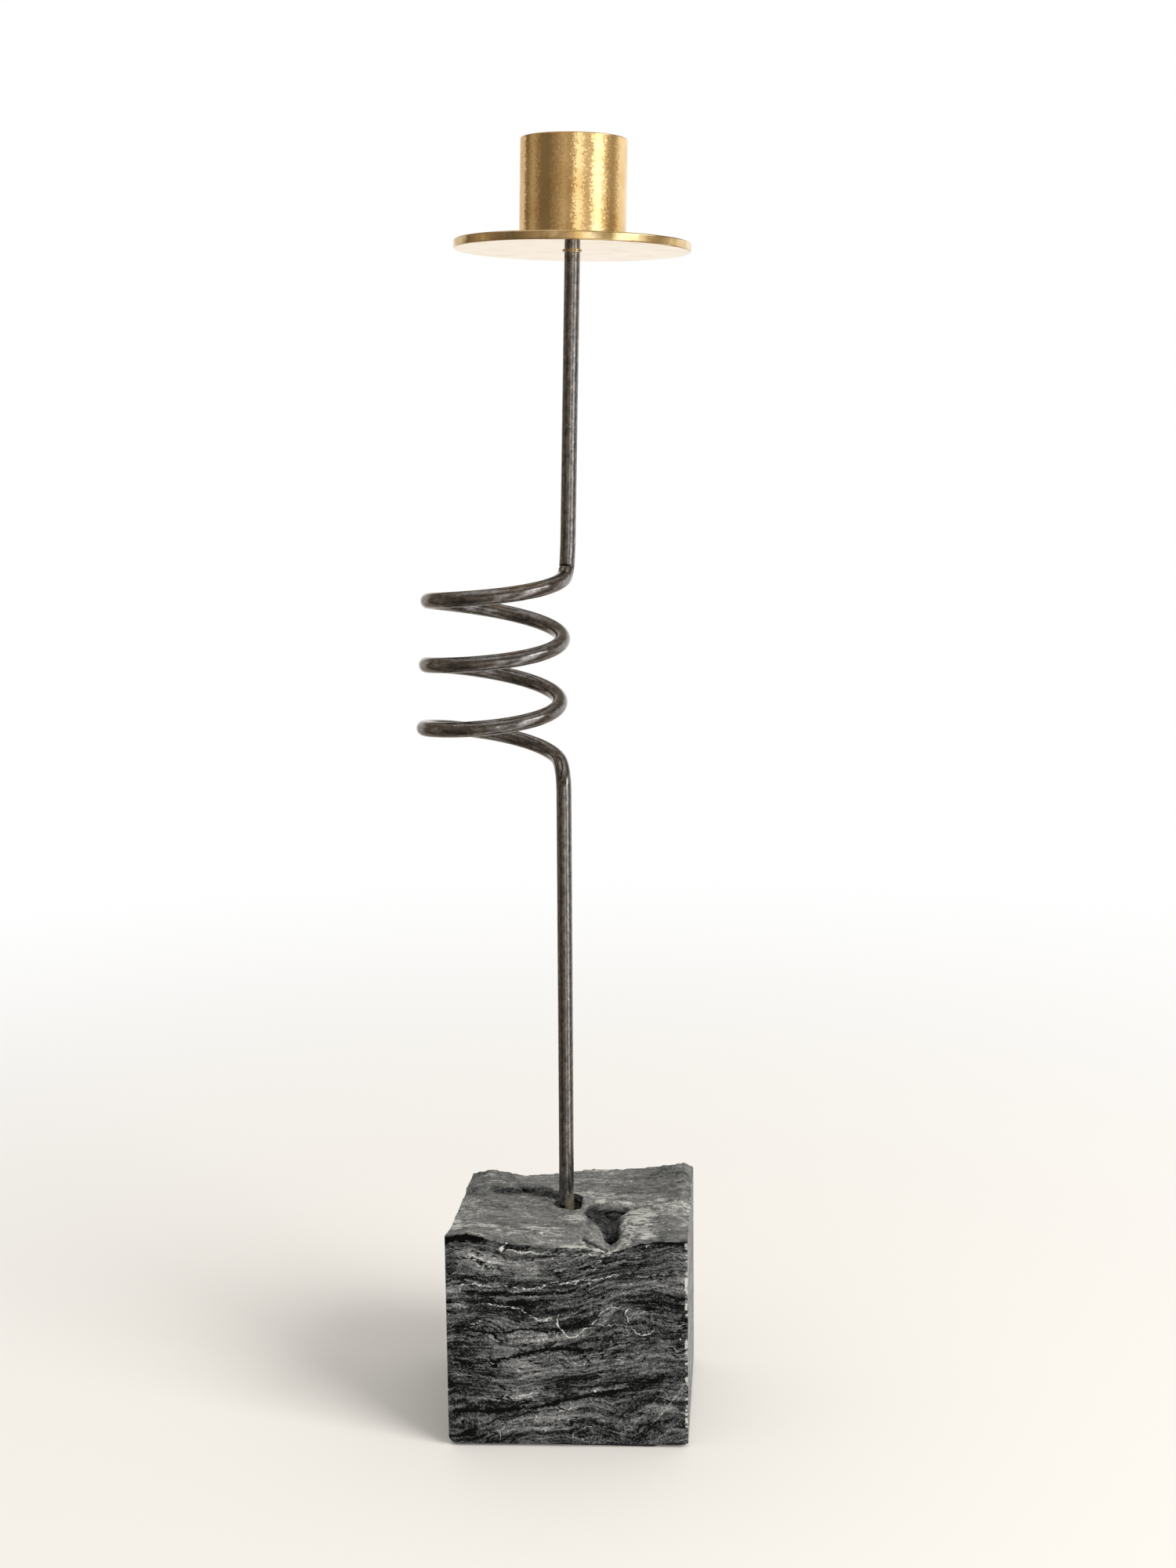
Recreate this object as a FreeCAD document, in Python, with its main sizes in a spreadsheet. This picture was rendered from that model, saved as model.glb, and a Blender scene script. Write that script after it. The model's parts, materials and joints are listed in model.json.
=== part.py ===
import FreeCAD, Part
import math
import os
import Sketcher

# Candle holder: a brass cup and drip plate on a bent steel rod, whose middle is wound into an open
# coil of three turns, bonded into a split-topped stone block.
# Millimetres. +Z is up and -Y is the front. The origin is on the table, where the line of the lower
# rod meets it.

Vector = FreeCAD.Vector

# Driving sizes: name, value, what it measures.
SIZES = [
    ("pad_thick", 0.9, "felt pad, thickness"),
    ("pad_wide", 52.0, "felt pad, side to side"),
    ("pad_deep", 48.0, "felt pad, front to back"),
    ("pad_corner", 2.0, "felt pad, corner radius"),
    ("pad_side_inset", 3.0, "stone's left face to the pad's left edge"),
    ("pad_front_inset", 2.6, "stone's front left corner to the pad's front edge"),
    ("stone_wide", 62.6, "stone, side to side"),
    ("stone_deep", 56.8, "stone, front to back at its left face"),
    ("stone_high", 56.6, "stone, nominal height of the split top above its underside"),
    ("stone_left", 28.8, "rod line to the stone's left face"),
    ("stone_front", 28.8, "rod line to the stone's front left corner"),
    ("stone_skew", 2.4, "how far the front right corner lies behind the front left one"),
    ("split_relief", 4.2, "rise and fall of the split top"),
    ("hole_diameter", 8.0, "drilled hole in the stone"),
    ("hole_depth", 38.0, "drilled hole, depth below the nominal top"),
    ("hole_side", 0.8, "hole's centre to the right of the rod line"),
    ("hole_back", 1.0, "hole's centre behind the rod line"),
    ("resin_floor", 1.0, "resin under the rod's foot"),
    ("resin_recess", 3.2, "resin's surface below the nominal top"),
    ("resin_film", 0.03, "allowance between the resin and what it fills"),
    ("rod_diameter", 4.0, "steel rod"),
    ("rod_lean", 0.315, "lower rod, degrees to the right"),
    ("lower_rod_top", 169.1, "height above the table at which the lower rod starts to bend"),
    ("lower_bend_rise", 7.6, "from there up to the coil's foot"),
    ("coil_turns", 3, "number of turns"),
    ("coil_radius", 17.55, "coil, to the rod's centre line"),
    ("coil_pitch", 16.7, "coil, rise of one turn"),
    ("coil_opening", 0.9, "how much wider the first turn starts"),
    ("opening_share", 0.5, "share of the coil's turns over which that fades out"),
    ("coil_lean_right", 3.3, "coil's axis, degrees to the right"),
    ("coil_lean_front", 3.0, "coil's axis, degrees to the front"),
    ("coil_side_inset", 1.0, "coil's foot inside the lower rod's line"),
    ("coil_back_offset", 1.9, "coil's axis behind the lower rod's line, at its foot"),
    ("coil_start", 15.3, "degrees of the first turn that the lower bend takes"),
    ("coil_finish", 9.4, "degrees of the last turn that the upper bend takes"),
    ("upper_bend_rise", 10.2, "from the coil's head up to the straight upper rod"),
    ("upper_side_offset", 0.8, "upper rod outside the coil's head"),
    ("upper_back_offset", 1.7, "upper rod behind the coil's head"),
    ("upper_rod_length", 71.0, "straight upper rod"),
    ("upper_lean", 1.55, "upper rod, plate and cup, degrees to the right"),
    ("ring_diameter", 5.2, "thin ring under the plate"),
    ("ring_thick", 0.35, "thin ring, thickness"),
    ("plate_diameter", 60.0, "drip plate"),
    ("plate_thick", 2.2, "drip plate, thickness"),
    ("plate_edge", 0.4, "drip plate, edge radius"),
    ("cup_diameter", 27.0, "candle cup, outside"),
    ("cup_high", 25.0, "candle cup, height above the plate"),
    ("cup_bore", 23.0, "candle cup, bore for a 22 mm candle"),
    ("cup_floor", 3.0, "candle cup, floor"),
    ("cup_lip", 0.3, "candle cup, radius of its lip and foot"),
    ("screw_diameter", 2.5, "countersunk screw, shank"),
    ("screw_length", 12.0, "countersunk screw, overall"),
    ("screw_head", 4.7, "countersunk screw, head diameter"),
    ("screw_taper", 1.25, "countersunk screw, height of the head's cone"),
    ("slot_wide", 0.7, "screw slot, width"),
    ("slot_deep", 0.6, "screw slot, depth"),
    ("screw_clearance", 0.1, "screw in the holes that it passes, all round"),
    ("thread_allowance", 0.05, "screw in the rod's tapped hole, all round"),
    ("tapped_spare", 1.5, "tapped hole past the screw's end"),
    ("overrun", 1.0, "how far a cutting tool passes the faces it cuts"),
]

# The split top. Each row of heights goes from the left face to the right one at the width shares. The
# rows go from front to back at the depth shares, and a row comes forward by its skew share on the way
# to the right face. Heights are shares of split_relief above or below stone_high. Rows three and four
# are the foot and the brow of a ledge that crosses the top behind and beside the hole.
TOP_WIDTH_SHARES = (0.0, 0.09, 0.24, 0.40, 0.55, 0.68, 0.80, 0.90, 0.96, 1.0)
TOP_DEPTH_SHARES = (0.0, 0.26, 0.70, 0.75, 1.0)
TOP_SKEW_SHARES = (0.0, 0.06, 0.41, 0.41, 0.0)
TOP_HEIGHT_SHARES = (
    (0.05, 0.26, -0.33, -0.62, -0.62, -0.95, -0.36, -0.19, -0.18, -0.21),
    (-0.50, -0.28, -0.25, -0.28, -0.33, -0.80, -0.15, 0.02, 0.04, -0.05),
    (-0.62, -0.45, -0.34, -0.34, -0.42, -0.78, -0.16, 0.05, 0.10, -0.04),
    (-0.62, -0.30, 0.08, 0.05, -0.06, -0.12, -0.04, 0.08, 0.14, -0.03),
    (-0.72, -0.44, -0.85, -0.64, -0.31, -0.27, -0.12, 0.11, 0.26, -0.03),
)

FULL_TURN = 2 * math.pi
TURN_STEP = 1 / 3600
OPENING_POWER = 4
QUARTERS = 4
MATCH = 1e-6
GAP_SAMPLES = 4
NEIGHBOUR_THICKNESSES = 4

doc = FreeCAD.newDocument("spiral_candle_holder")
sheet = doc.addObject("Spreadsheet::Sheet", "Sizes")
for row, (alias, value, meaning) in enumerate(SIZES, start=1):
    sheet.set("A%d" % row, alias)
    sheet.set("B%d" % row, str(value))
    sheet.set("C%d" % row, meaning)
    sheet.setAlias("B%d" % row, alias)
doc.recompute()


def size(alias):
    return float(sheet.get(alias))


def leaning(right, front=0.0):
    """Unit vector of an upright line that leans right and to the front, in degrees."""
    return Vector(math.tan(math.radians(right)), -math.tan(math.radians(front)), 1).normalize()


def turned_to(direction):
    """Rotation that takes +Z to a direction."""
    return FreeCAD.Rotation(Vector(0, 0, 1), direction)


# The rod's centre line, from its foot in the stone to its head under the plate.
LOWER_LINE = leaning(size("rod_lean"))
UPPER_LINE = leaning(size("upper_lean"))
COIL_AXIS = leaning(size("coil_lean_right"), size("coil_lean_front"))
COIL_SIDE = (Vector(1, 0, 0) - COIL_AXIS * COIL_AXIS.x).normalize()
COIL_BACK = COIL_AXIS.cross(COIL_SIDE)


def on_lower_line(height):
    return LOWER_LINE * (height / LOWER_LINE.z)


STONE_TOP = size("pad_thick") + size("stone_high")
HOLE_BOTTOM = STONE_TOP - size("hole_depth")
ROD_FOOT = on_lower_line(HOLE_BOTTOM + size("resin_floor"))
LOWER_BEND = on_lower_line(size("lower_rod_top"))
COIL_FOOT_HEIGHT = size("lower_rod_top") + size("lower_bend_rise")
COIL_FOOT_REACH = size("coil_radius") + size("coil_opening") + size("coil_side_inset")
COIL_FOOT = on_lower_line(COIL_FOOT_HEIGHT) + Vector(-COIL_FOOT_REACH, size("coil_back_offset"), 0)


def coil_point(turn):
    """Centre line of the coil after so many turns, from its foot. The first turn starts wider."""
    share = turn / size("coil_turns")
    opening = size("coil_opening") * max(0.0, 1 - share / size("opening_share")) ** OPENING_POWER
    radius = size("coil_radius") + opening
    angle = turn * FULL_TURN
    around = COIL_SIDE * math.cos(angle) + COIL_BACK * math.sin(angle)
    return COIL_FOOT + COIL_AXIS * (size("coil_pitch") * turn) + around * radius


def coil_direction(turn):
    """Direction of travel along the coil, from a short chord about the point."""
    return (coil_point(turn + TURN_STEP) - coil_point(turn - TURN_STEP)).normalize()


COIL_HEAD = coil_point(size("coil_turns"))
UPPER_OFFSET = Vector(size("upper_side_offset"), size("upper_back_offset"), size("upper_bend_rise"))
UPPER_BEND = COIL_HEAD + UPPER_OFFSET
ROD_HEAD = UPPER_BEND + UPPER_LINE * size("upper_rod_length")


def arc_from(start, direction, end):
    """Arc that leaves start along a direction and passes through end, with its radius."""
    chord = end - start
    side = (chord - direction * chord.dot(direction)).normalize()
    radius = chord.dot(chord) / (2 * chord.dot(side))
    half = math.atan2(chord.dot(side), chord.dot(direction))
    middle = start + (direction * math.sin(half) + side * (1 - math.cos(half))) * radius
    return Part.Arc(start, middle, end).toShape(), radius


def biarc(start, start_direction, end, end_direction):
    """Two arcs, tangent to each other, between two points with their directions, and their radii."""
    span = end - start
    both = start_direction + end_direction
    spread = 2 * (1 - start_direction.dot(end_direction))
    root = math.sqrt(span.dot(both) ** 2 + spread * span.dot(span))
    reach = (root - span.dot(both)) / spread
    joint = (start + start_direction * reach + end - end_direction * reach) * 0.5
    first, first_radius = arc_from(start, start_direction, joint)
    second, second_radius = arc_from(end, end_direction * -1, joint)
    return [first, second], [first_radius, second_radius]


def rod_path():
    """Edges of the rod's centre line: rod, bend, coil by quarter turns, bend, rod."""
    quarters = int(QUARTERS * size("coil_turns"))
    first = size("coil_start") / 360
    last = size("coil_turns") - size("coil_finish") / 360
    turns = [first + (last - first) * k / quarters for k in range(quarters + 1)]
    points = [LOWER_BEND] + [coil_point(turn) for turn in turns] + [UPPER_BEND]
    ways = [LOWER_LINE] + [coil_direction(turn) for turn in turns] + [UPPER_LINE]
    edges = [Part.LineSegment(ROD_FOOT, LOWER_BEND).toShape()]
    radii = []
    for k in range(len(points) - 1):
        arcs, arc_radii = biarc(points[k], ways[k], points[k + 1], ways[k + 1])
        edges += arcs
        radii += arc_radii
    edges.append(Part.LineSegment(UPPER_BEND, ROD_HEAD).toShape())
    return edges, radii


def least_gap(path, thickness):
    """Least gap between stretches of the rod that aren't neighbours, measured on points."""
    points = path.discretize(Distance=thickness / GAP_SAMPLES)
    apart = NEIGHBOUR_THICKNESSES * GAP_SAMPLES
    gaps = [
        points[a].distanceToPoint(points[b]) - thickness
        for a in range(len(points))
        for b in range(a + apart, len(points))
    ]
    return min(gaps)


def new_body(label):
    body = doc.addObject("PartDesign::Body", label)
    body.Label = label
    return body


def sketch_on(body, role, name):
    """Sketch on one of the body's own origin planes."""
    sketch = body.newObject("Sketcher::SketchObject", name)
    plane = next(item for item in body.Origin.OriginFeatures if item.Role == role)
    sketch.AttachmentSupport = [(plane, "")]
    sketch.MapMode = "FlatFace"
    return sketch


def circle_sketch(body, name, diameter):
    """Circle about the body's own axis. The expression for its diameter replaces the first value."""
    sketch = sketch_on(body, "XY_Plane", name)
    sketch.addGeometry(Part.Circle(Vector(), Vector(0, 0, 1), size("rod_diameter")), False)
    sketch.addConstraint(Sketcher.Constraint("Coincident", 0, 3, -1, 1))
    bound = sketch.addConstraint(Sketcher.Constraint("Diameter", 0, size("rod_diameter")))
    sketch.setExpression("Constraints[%d]" % bound, diameter)
    return sketch


def pad(body, sketch, name, length):
    feature = body.newObject("PartDesign::Pad", name)
    feature.Profile = sketch
    feature.setExpression("Length", length)
    doc.recompute()
    return feature


def drill(body, name, diameter, start, length):
    """Round hole along the body's axis, upwards from a start height."""
    before = body.Shape.Volume
    sketch = circle_sketch(body, name + "_circle", diameter)
    sketch.setExpression("AttachmentOffset.Base.z", start)
    feature = body.newObject("PartDesign::Pocket", name)
    feature.Profile = sketch
    feature.Reversed = True
    feature.setExpression("Length", length)
    doc.recompute()
    print("%s: volume %.1f to %.1f" % (name, before, feature.Shape.Volume))
    return feature


def solid_in(body, kind, name, sizes):
    """Primitive solid added to the body or cut from it, its sizes bound to expressions."""
    before = 0.0 if body.Shape.isNull() else body.Shape.Volume
    feature = body.newObject("PartDesign::" + kind, name)
    for field, expression in sizes.items():
        feature.setExpression(field, expression)
    doc.recompute()
    print("%s: volume %.1f to %.1f" % (name, before, feature.Shape.Volume))
    return feature


def circle_edges(feature, radius, height):
    """Names of a feature's round edges at a radius and a height."""
    names = []
    for number, edge in enumerate(feature.Shape.Edges, start=1):
        curve = edge.Curve
        if isinstance(curve, Part.Circle) and math.isclose(curve.Radius, radius, rel_tol=MATCH):
            if math.isclose(curve.Center.z, height, rel_tol=MATCH, abs_tol=MATCH):
                names.append("Edge%d" % number)
    return names


def round_edges(body, name, feature, edges, radius):
    fillet = body.newObject("PartDesign::Fillet", name)
    fillet.Base = (feature, edges)
    fillet.setExpression("Radius", radius)
    doc.recompute()
    return fillet


def place(item, base, direction=Vector(0, 0, 1)):
    item.Placement = FreeCAD.Placement(base, turned_to(direction))


def cylinder(name, radius, height):
    item = doc.addObject("Part::Cylinder", name)
    item.setExpression("Radius", radius)
    item.setExpression("Height", height)
    return item


def cut(label, base, tool):
    item = doc.addObject("Part::Cut", label)
    item.Base = base
    item.Tool = tool
    item.Label = label
    return item


# Stone base: sawn sides, a flat underside and a split top of ruled facets.
def stone_outline(depth_share, skew_share, height_shares):
    """Closed upright outline across the stone, from its underside to its split top."""
    corners = []
    bottom = size("pad_thick")
    for width_share in TOP_WIDTH_SHARES:
        across = size("stone_wide") * width_share - size("stone_left")
        front = size("stone_skew") * width_share - size("stone_front")
        back = size("stone_deep") - size("stone_front")
        corners.append((across, front + (back - front) * (depth_share - skew_share * width_share)))
    top = [
        Vector(across, depth, STONE_TOP + size("split_relief") * height_share)
        for (across, depth), height_share in zip(corners, height_shares)
    ]
    left = Vector(corners[0][0], corners[0][1], bottom)
    right = Vector(corners[-1][0], corners[-1][1], bottom)
    return Part.makePolygon([left] + top + [right, left])


outlines = [stone_outline(*row) for row in zip(TOP_DEPTH_SHARES, TOP_SKEW_SHARES, TOP_HEIGHT_SHARES)]
stone_block = doc.addObject("Part::Feature", "stone_block")
stone_block.Shape = Part.makeLoft(outlines, True, True)

HOLE_FOOT = Vector(size("hole_side"), size("hole_back"), HOLE_BOTTOM)
stone_hole = cylinder(
    "stone_hole", "Sizes.hole_diameter / 2", "Sizes.hole_depth + Sizes.split_relief + Sizes.overrun")
place(stone_hole, HOLE_FOOT)
stone_base = cut("stone_base", stone_block, stone_hole)

# Base pad: a rectangle of felt with rounded corners.
base_pad = new_body("base_pad")
pad_sketch = sketch_on(base_pad, "XY_Plane", "pad_rectangle")
pad_sketch.addGeometry([
    Part.LineSegment(Vector(0, 0, 0), Vector(size("pad_wide"), 0, 0)),
    Part.LineSegment(Vector(size("pad_wide"), 0, 0), Vector(size("pad_wide"), size("pad_deep"), 0)),
    Part.LineSegment(Vector(size("pad_wide"), size("pad_deep"), 0), Vector(0, size("pad_deep"), 0)),
    Part.LineSegment(Vector(0, size("pad_deep"), 0), Vector(0, 0, 0)),
], False)
for side in range(4):
    pad_sketch.addConstraint(Sketcher.Constraint("Coincident", side, 2, (side + 1) % 4, 1))
for side in range(4):
    pad_sketch.addConstraint(Sketcher.Constraint("Vertical" if side % 2 else "Horizontal", side))
pad_sketch.addConstraint(Sketcher.Constraint("Coincident", 0, 1, -1, 1))
wide = pad_sketch.addConstraint(Sketcher.Constraint("DistanceX", 0, 1, 0, 2, size("pad_wide")))
pad_sketch.setExpression("Constraints[%d]" % wide, "Sizes.pad_wide")
deep = pad_sketch.addConstraint(Sketcher.Constraint("DistanceY", 1, 1, 1, 2, size("pad_deep")))
pad_sketch.setExpression("Constraints[%d]" % deep, "Sizes.pad_deep")
felt = pad(base_pad, pad_sketch, "felt", "Sizes.pad_thick")
uprights = [
    "Edge%d" % number for number, edge in enumerate(felt.Shape.Edges, start=1)
    if edge.tangentAt(edge.FirstParameter).cross(Vector(0, 0, 1)).Length < MATCH
]
round_edges(base_pad, "felt_corners", felt, uprights, "Sizes.pad_corner")
pad_left = size("pad_side_inset") - size("stone_left")
pad_front = size("pad_front_inset") - size("stone_front")
place(base_pad, Vector(pad_left, pad_front, 0))

# Resin in the hole, round the rod and under its foot.
resin_fill = cylinder(
    "resin_fill", "Sizes.hole_diameter / 2 - Sizes.resin_film",
    "Sizes.hole_depth - Sizes.resin_recess - Sizes.resin_film")
place(resin_fill, HOLE_FOOT + Vector(0, 0, size("resin_film")))
rod_space = cylinder(
    "rod_space", "Sizes.rod_diameter / 2 + Sizes.resin_film", "Sizes.hole_depth + Sizes.overrun")
place(rod_space, ROD_FOOT - LOWER_LINE * size("resin_film"), LOWER_LINE)
rod_adhesive = cut("rod_adhesive", resin_fill, rod_space)

# Spiral rod: one length of steel, tapped at its head for the screw.
edges, radii = rod_path()
path = Part.Wire(edges)
rod_end = Part.Wire(Part.makeCircle(size("rod_diameter") / 2, ROD_FOOT, LOWER_LINE))
bent_rod = doc.addObject("Part::Feature", "bent_rod")
bent_rod.Shape = path.makePipeShell([rod_end], True, False)
print("rod: length %.1f, tightest arc %.2f" % (path.Length, min(abs(radius) for radius in radii)))
section = math.pi * size("rod_diameter") ** 2 / 4
print("rod: volume %.1f, section times length %.1f" % (bent_rod.Shape.Volume, section * path.Length))
print("rod: least gap to itself %.2f" % least_gap(path, size("rod_diameter")))
tapped_hole = cylinder(
    "tapped_hole", "Sizes.screw_diameter / 2 + Sizes.thread_allowance",
    "Sizes.screw_length - Sizes.cup_floor - Sizes.plate_thick - Sizes.ring_thick + Sizes.tapped_spare"
    " + Sizes.overrun")
place(tapped_hole, ROD_HEAD + UPPER_LINE * size("overrun"), UPPER_LINE * -1)
spiral_rod = cut("spiral_rod", bent_rod, tapped_hole)

# What stands on the rod's head, one above the other along the upper rod's line.
PLATE_UNDERSIDE = ROD_HEAD + UPPER_LINE * size("ring_thick")
CUP_UNDERSIDE = PLATE_UNDERSIDE + UPPER_LINE * size("plate_thick")
CUP_FLOOR = CUP_UNDERSIDE + UPPER_LINE * size("cup_floor")
SCREW_HOLE = "Sizes.screw_diameter + 2 * Sizes.screw_clearance"

plate_ring = new_body("plate_ring")
ring_circle = circle_sketch(plate_ring, "ring_circle", "Sizes.ring_diameter")
pad(plate_ring, ring_circle, "ring", "Sizes.ring_thick")
drill(plate_ring, "ring_hole", SCREW_HOLE, "-Sizes.overrun", "Sizes.ring_thick + 2 * Sizes.overrun")
place(plate_ring, ROD_HEAD, UPPER_LINE)

drip_plate = new_body("drip_plate")
plate_circle = circle_sketch(drip_plate, "plate_circle", "Sizes.plate_diameter")
pad(drip_plate, plate_circle, "plate_disc", "Sizes.plate_thick")
plate = drill(
    drip_plate, "plate_hole", SCREW_HOLE, "-Sizes.overrun", "Sizes.plate_thick + 2 * Sizes.overrun")
rims = []
for height in (0, size("plate_thick")):
    rims += circle_edges(plate, size("plate_diameter") / 2, height)
round_edges(drip_plate, "plate_rims", plate, rims, "Sizes.plate_edge")
place(drip_plate, PLATE_UNDERSIDE, UPPER_LINE)

candle_cup = new_body("candle_cup")
cup_circle = circle_sketch(candle_cup, "cup_circle", "Sizes.cup_diameter")
pad(candle_cup, cup_circle, "cup_bar", "Sizes.cup_high")
drill(candle_cup, "cup_bore_cut", "Sizes.cup_bore", "Sizes.cup_floor", "Sizes.cup_high")
drill(candle_cup, "cup_hole", SCREW_HOLE, "-Sizes.overrun", "Sizes.cup_floor + 2 * Sizes.overrun")
cup = candle_cup.Tip
lips = circle_edges(cup, size("cup_diameter") / 2, 0)
lips += circle_edges(cup, size("cup_diameter") / 2, size("cup_high"))
lips += circle_edges(cup, size("cup_bore") / 2, size("cup_high"))
round_edges(candle_cup, "cup_lips", cup, lips, "Sizes.cup_lip")
countersink = solid_in(candle_cup, "SubtractiveCone", "countersink", {
    "Radius1": "Sizes.screw_diameter / 2",
    "Radius2": "Sizes.screw_head / 2",
    "Height": "Sizes.screw_taper",
    "Placement.Base.z": "Sizes.cup_floor - Sizes.screw_taper",
})
place(candle_cup, CUP_UNDERSIDE, UPPER_LINE)

# Countersunk screw, its head level with the cup's floor.
cup_screw = new_body("cup_screw")
solid_in(cup_screw, "AdditiveCylinder", "shank", {
    "Radius": "Sizes.screw_diameter / 2",
    "Height": "Sizes.screw_length - Sizes.screw_taper",
    "Placement.Base.z": "-Sizes.screw_length",
})
solid_in(cup_screw, "AdditiveCone", "head", {
    "Radius1": "Sizes.screw_diameter / 2",
    "Radius2": "Sizes.screw_head / 2",
    "Height": "Sizes.screw_taper",
    "Placement.Base.z": "-Sizes.screw_taper",
})
solid_in(cup_screw, "SubtractiveBox", "slot", {
    "Length": "Sizes.screw_head + 2 * Sizes.overrun",
    "Width": "Sizes.slot_wide",
    "Height": "Sizes.slot_deep + Sizes.overrun",
    "Placement.Base.x": "-Sizes.screw_head / 2 - Sizes.overrun",
    "Placement.Base.y": "-Sizes.slot_wide / 2",
    "Placement.Base.z": "-Sizes.slot_deep",
})
place(cup_screw, CUP_FLOOR, UPPER_LINE)

# Every object has to be sound before anything is written.
doc.recompute()
SUB_PARTS = [stone_base, base_pad, rod_adhesive, spiral_rod, plate_ring, drip_plate, candle_cup, cup_screw]
for item in doc.Objects:
    if "Invalid" in item.State or "Error" in item.State:
        raise RuntimeError("%s is in state %s" % (item.Label, item.State))
for item in SUB_PARTS:
    if item.Shape.isNull() or not item.Shape.isValid() or len(item.Shape.Solids) != 1:
        raise RuntimeError("%s isn't one valid solid" % item.Label)

os.makedirs("parts", exist_ok=True)
for item in SUB_PARTS:
    item.Shape.exportStep(os.path.join("parts", item.Label + ".step"))
    box = item.Shape.BoundBox
    corners = (box.XMin, box.XMax, box.YMin, box.YMax, box.ZMin, box.ZMax)
    print(item.Label, "volume %.1f, box" % item.Shape.Volume, " ".join("%.2f" % side for side in corners))
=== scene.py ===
import json
import math

import bmesh
import bpy
from mathutils import Matrix, Vector, kdtree, noise
from mathutils.bvhtree import BVHTree


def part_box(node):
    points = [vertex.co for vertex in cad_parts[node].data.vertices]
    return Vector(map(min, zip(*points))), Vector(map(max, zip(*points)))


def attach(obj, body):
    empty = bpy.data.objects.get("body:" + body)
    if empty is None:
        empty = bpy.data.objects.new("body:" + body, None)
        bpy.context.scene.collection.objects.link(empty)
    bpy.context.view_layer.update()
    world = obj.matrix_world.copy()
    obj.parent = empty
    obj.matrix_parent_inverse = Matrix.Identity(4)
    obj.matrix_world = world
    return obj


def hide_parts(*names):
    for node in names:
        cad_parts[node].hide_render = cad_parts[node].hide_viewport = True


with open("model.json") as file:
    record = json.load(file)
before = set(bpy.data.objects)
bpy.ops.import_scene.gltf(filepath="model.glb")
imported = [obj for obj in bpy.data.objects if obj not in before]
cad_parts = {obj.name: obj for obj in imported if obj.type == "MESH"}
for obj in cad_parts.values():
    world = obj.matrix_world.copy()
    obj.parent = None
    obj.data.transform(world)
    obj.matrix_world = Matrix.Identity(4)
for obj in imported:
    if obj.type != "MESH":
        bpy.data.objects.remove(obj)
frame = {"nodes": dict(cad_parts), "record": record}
bpy.context.view_layer.update()
MM = 0.001

# Points closer than melted are one. Closer than tiny is the same place, and closer than near the same
# circle. A face looks up, down or to the front where its normal points that way by more than facing.
MELTED = MM / 1000
TINY = MM / 100
NEAR = MM / 50
FACING = 0.9

FULL_TURN = 2 * math.pi
UP = Vector((0, 0, 1))
WHITE = (1, 1, 1, 1)


# Small helpers

def linear(shade):
    """An sRGB hex colour as the linear colour that the shaders take."""
    parts = [int(shade[at:at + 2], 16) / 255 for at in (1, 3, 5)]
    return tuple(p / 12.92 if p <= 0.04045 else ((p + 0.055) / 1.055) ** 2.4 for p in parts) + (1.0,)


def grey(share):
    """A plain level of light as a colour."""
    return (share, share, share, 1)


def radians(*degrees):
    return tuple(math.radians(angle) for angle in degrees)


def per_mm(*sizes):
    """A pattern's scales from its sizes in millimetres."""
    return tuple(1 / (size * MM) for size in sizes)


def connect(tree, node, inputs):
    """Sets a node's inputs. Each is a value, a socket, or a node, for its first output."""
    for key, value in inputs.items():
        if isinstance(value, bpy.types.Node):
            value = value.outputs[0]
        if isinstance(value, bpy.types.NodeSocket):
            tree.links.new(value, node.inputs[key])
        else:
            node.inputs[key].default_value = value


def add(tree, kind, inputs=None, **settings):
    """Adds a shader node with its settings and inputs."""
    made = tree.nodes.new("ShaderNode" + kind)
    for name, value in settings.items():
        setattr(made, name, value)
    connect(tree, made, inputs or {})
    return made


def set_stops(ramp, stops):
    """Sets a colour ramp's stops, each a place and a linear colour."""
    band = ramp.color_ramp
    band.elements.remove(band.elements[-1])
    band.elements[0].position, band.elements[0].color = stops[0]
    for place, colour in stops[1:]:
        band.elements.new(place).color = colour
    return ramp


def new_material(name):
    """A material, with its node tree and its shader."""
    made = bpy.data.materials.new(name)
    made.use_nodes = True
    return made, made.node_tree, made.node_tree.nodes["Principled BSDF"]


def soft_step(low, high, value):
    """0 at low, 1 at high and a soft rise between."""
    share = min(1.0, max(0.0, (value - low) / (high - low)))
    return share * share * (3 - 2 * share)


def patch(start, full, ebbing, end, value):
    """1 from full to ebbing, 0 before start and past end, and soft between."""
    return soft_step(start, full, value) * soft_step(end, ebbing, value)


def on_line(points, place):
    """The height at a place of a line through points, each a place and a height."""
    for (left, low), (right, high) in zip(points, points[1:]):
        if place <= right:
            return low + (high - low) * (place - left) / (right - left)
    return points[-1][1]


def only(piece):
    """Makes one piece the selected and active one."""
    bpy.ops.object.select_all(action="DESELECT")
    piece.select_set(True)
    bpy.context.view_layer.objects.active = piece


def select(piece, kind, wanted):
    """In edit mode, selects just the faces or the edges that a test picks."""
    bpy.ops.mesh.select_mode(type=kind)
    bpy.ops.mesh.select_all(action="DESELECT")
    shape = bmesh.from_edit_mesh(piece.data)
    for part in shape.faces if kind == "FACE" else shape.edges:
        part.select_set(bool(wanted(part)))
    bmesh.update_edit_mesh(piece.data)


def settle(piece):
    """Puts the object's place, turn and scale into its mesh."""
    only(piece)
    bpy.ops.object.transform_apply(location=True, rotation=True, scale=True)


def start(primitive, **settings):
    """Adds a primitive at its size and place."""
    bpy.ops.object.select_all(action="DESELECT")
    getattr(bpy.ops.mesh, f"primitive_{primitive}_add")(**settings)
    made = bpy.context.active_object
    settle(made)
    return made


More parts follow.
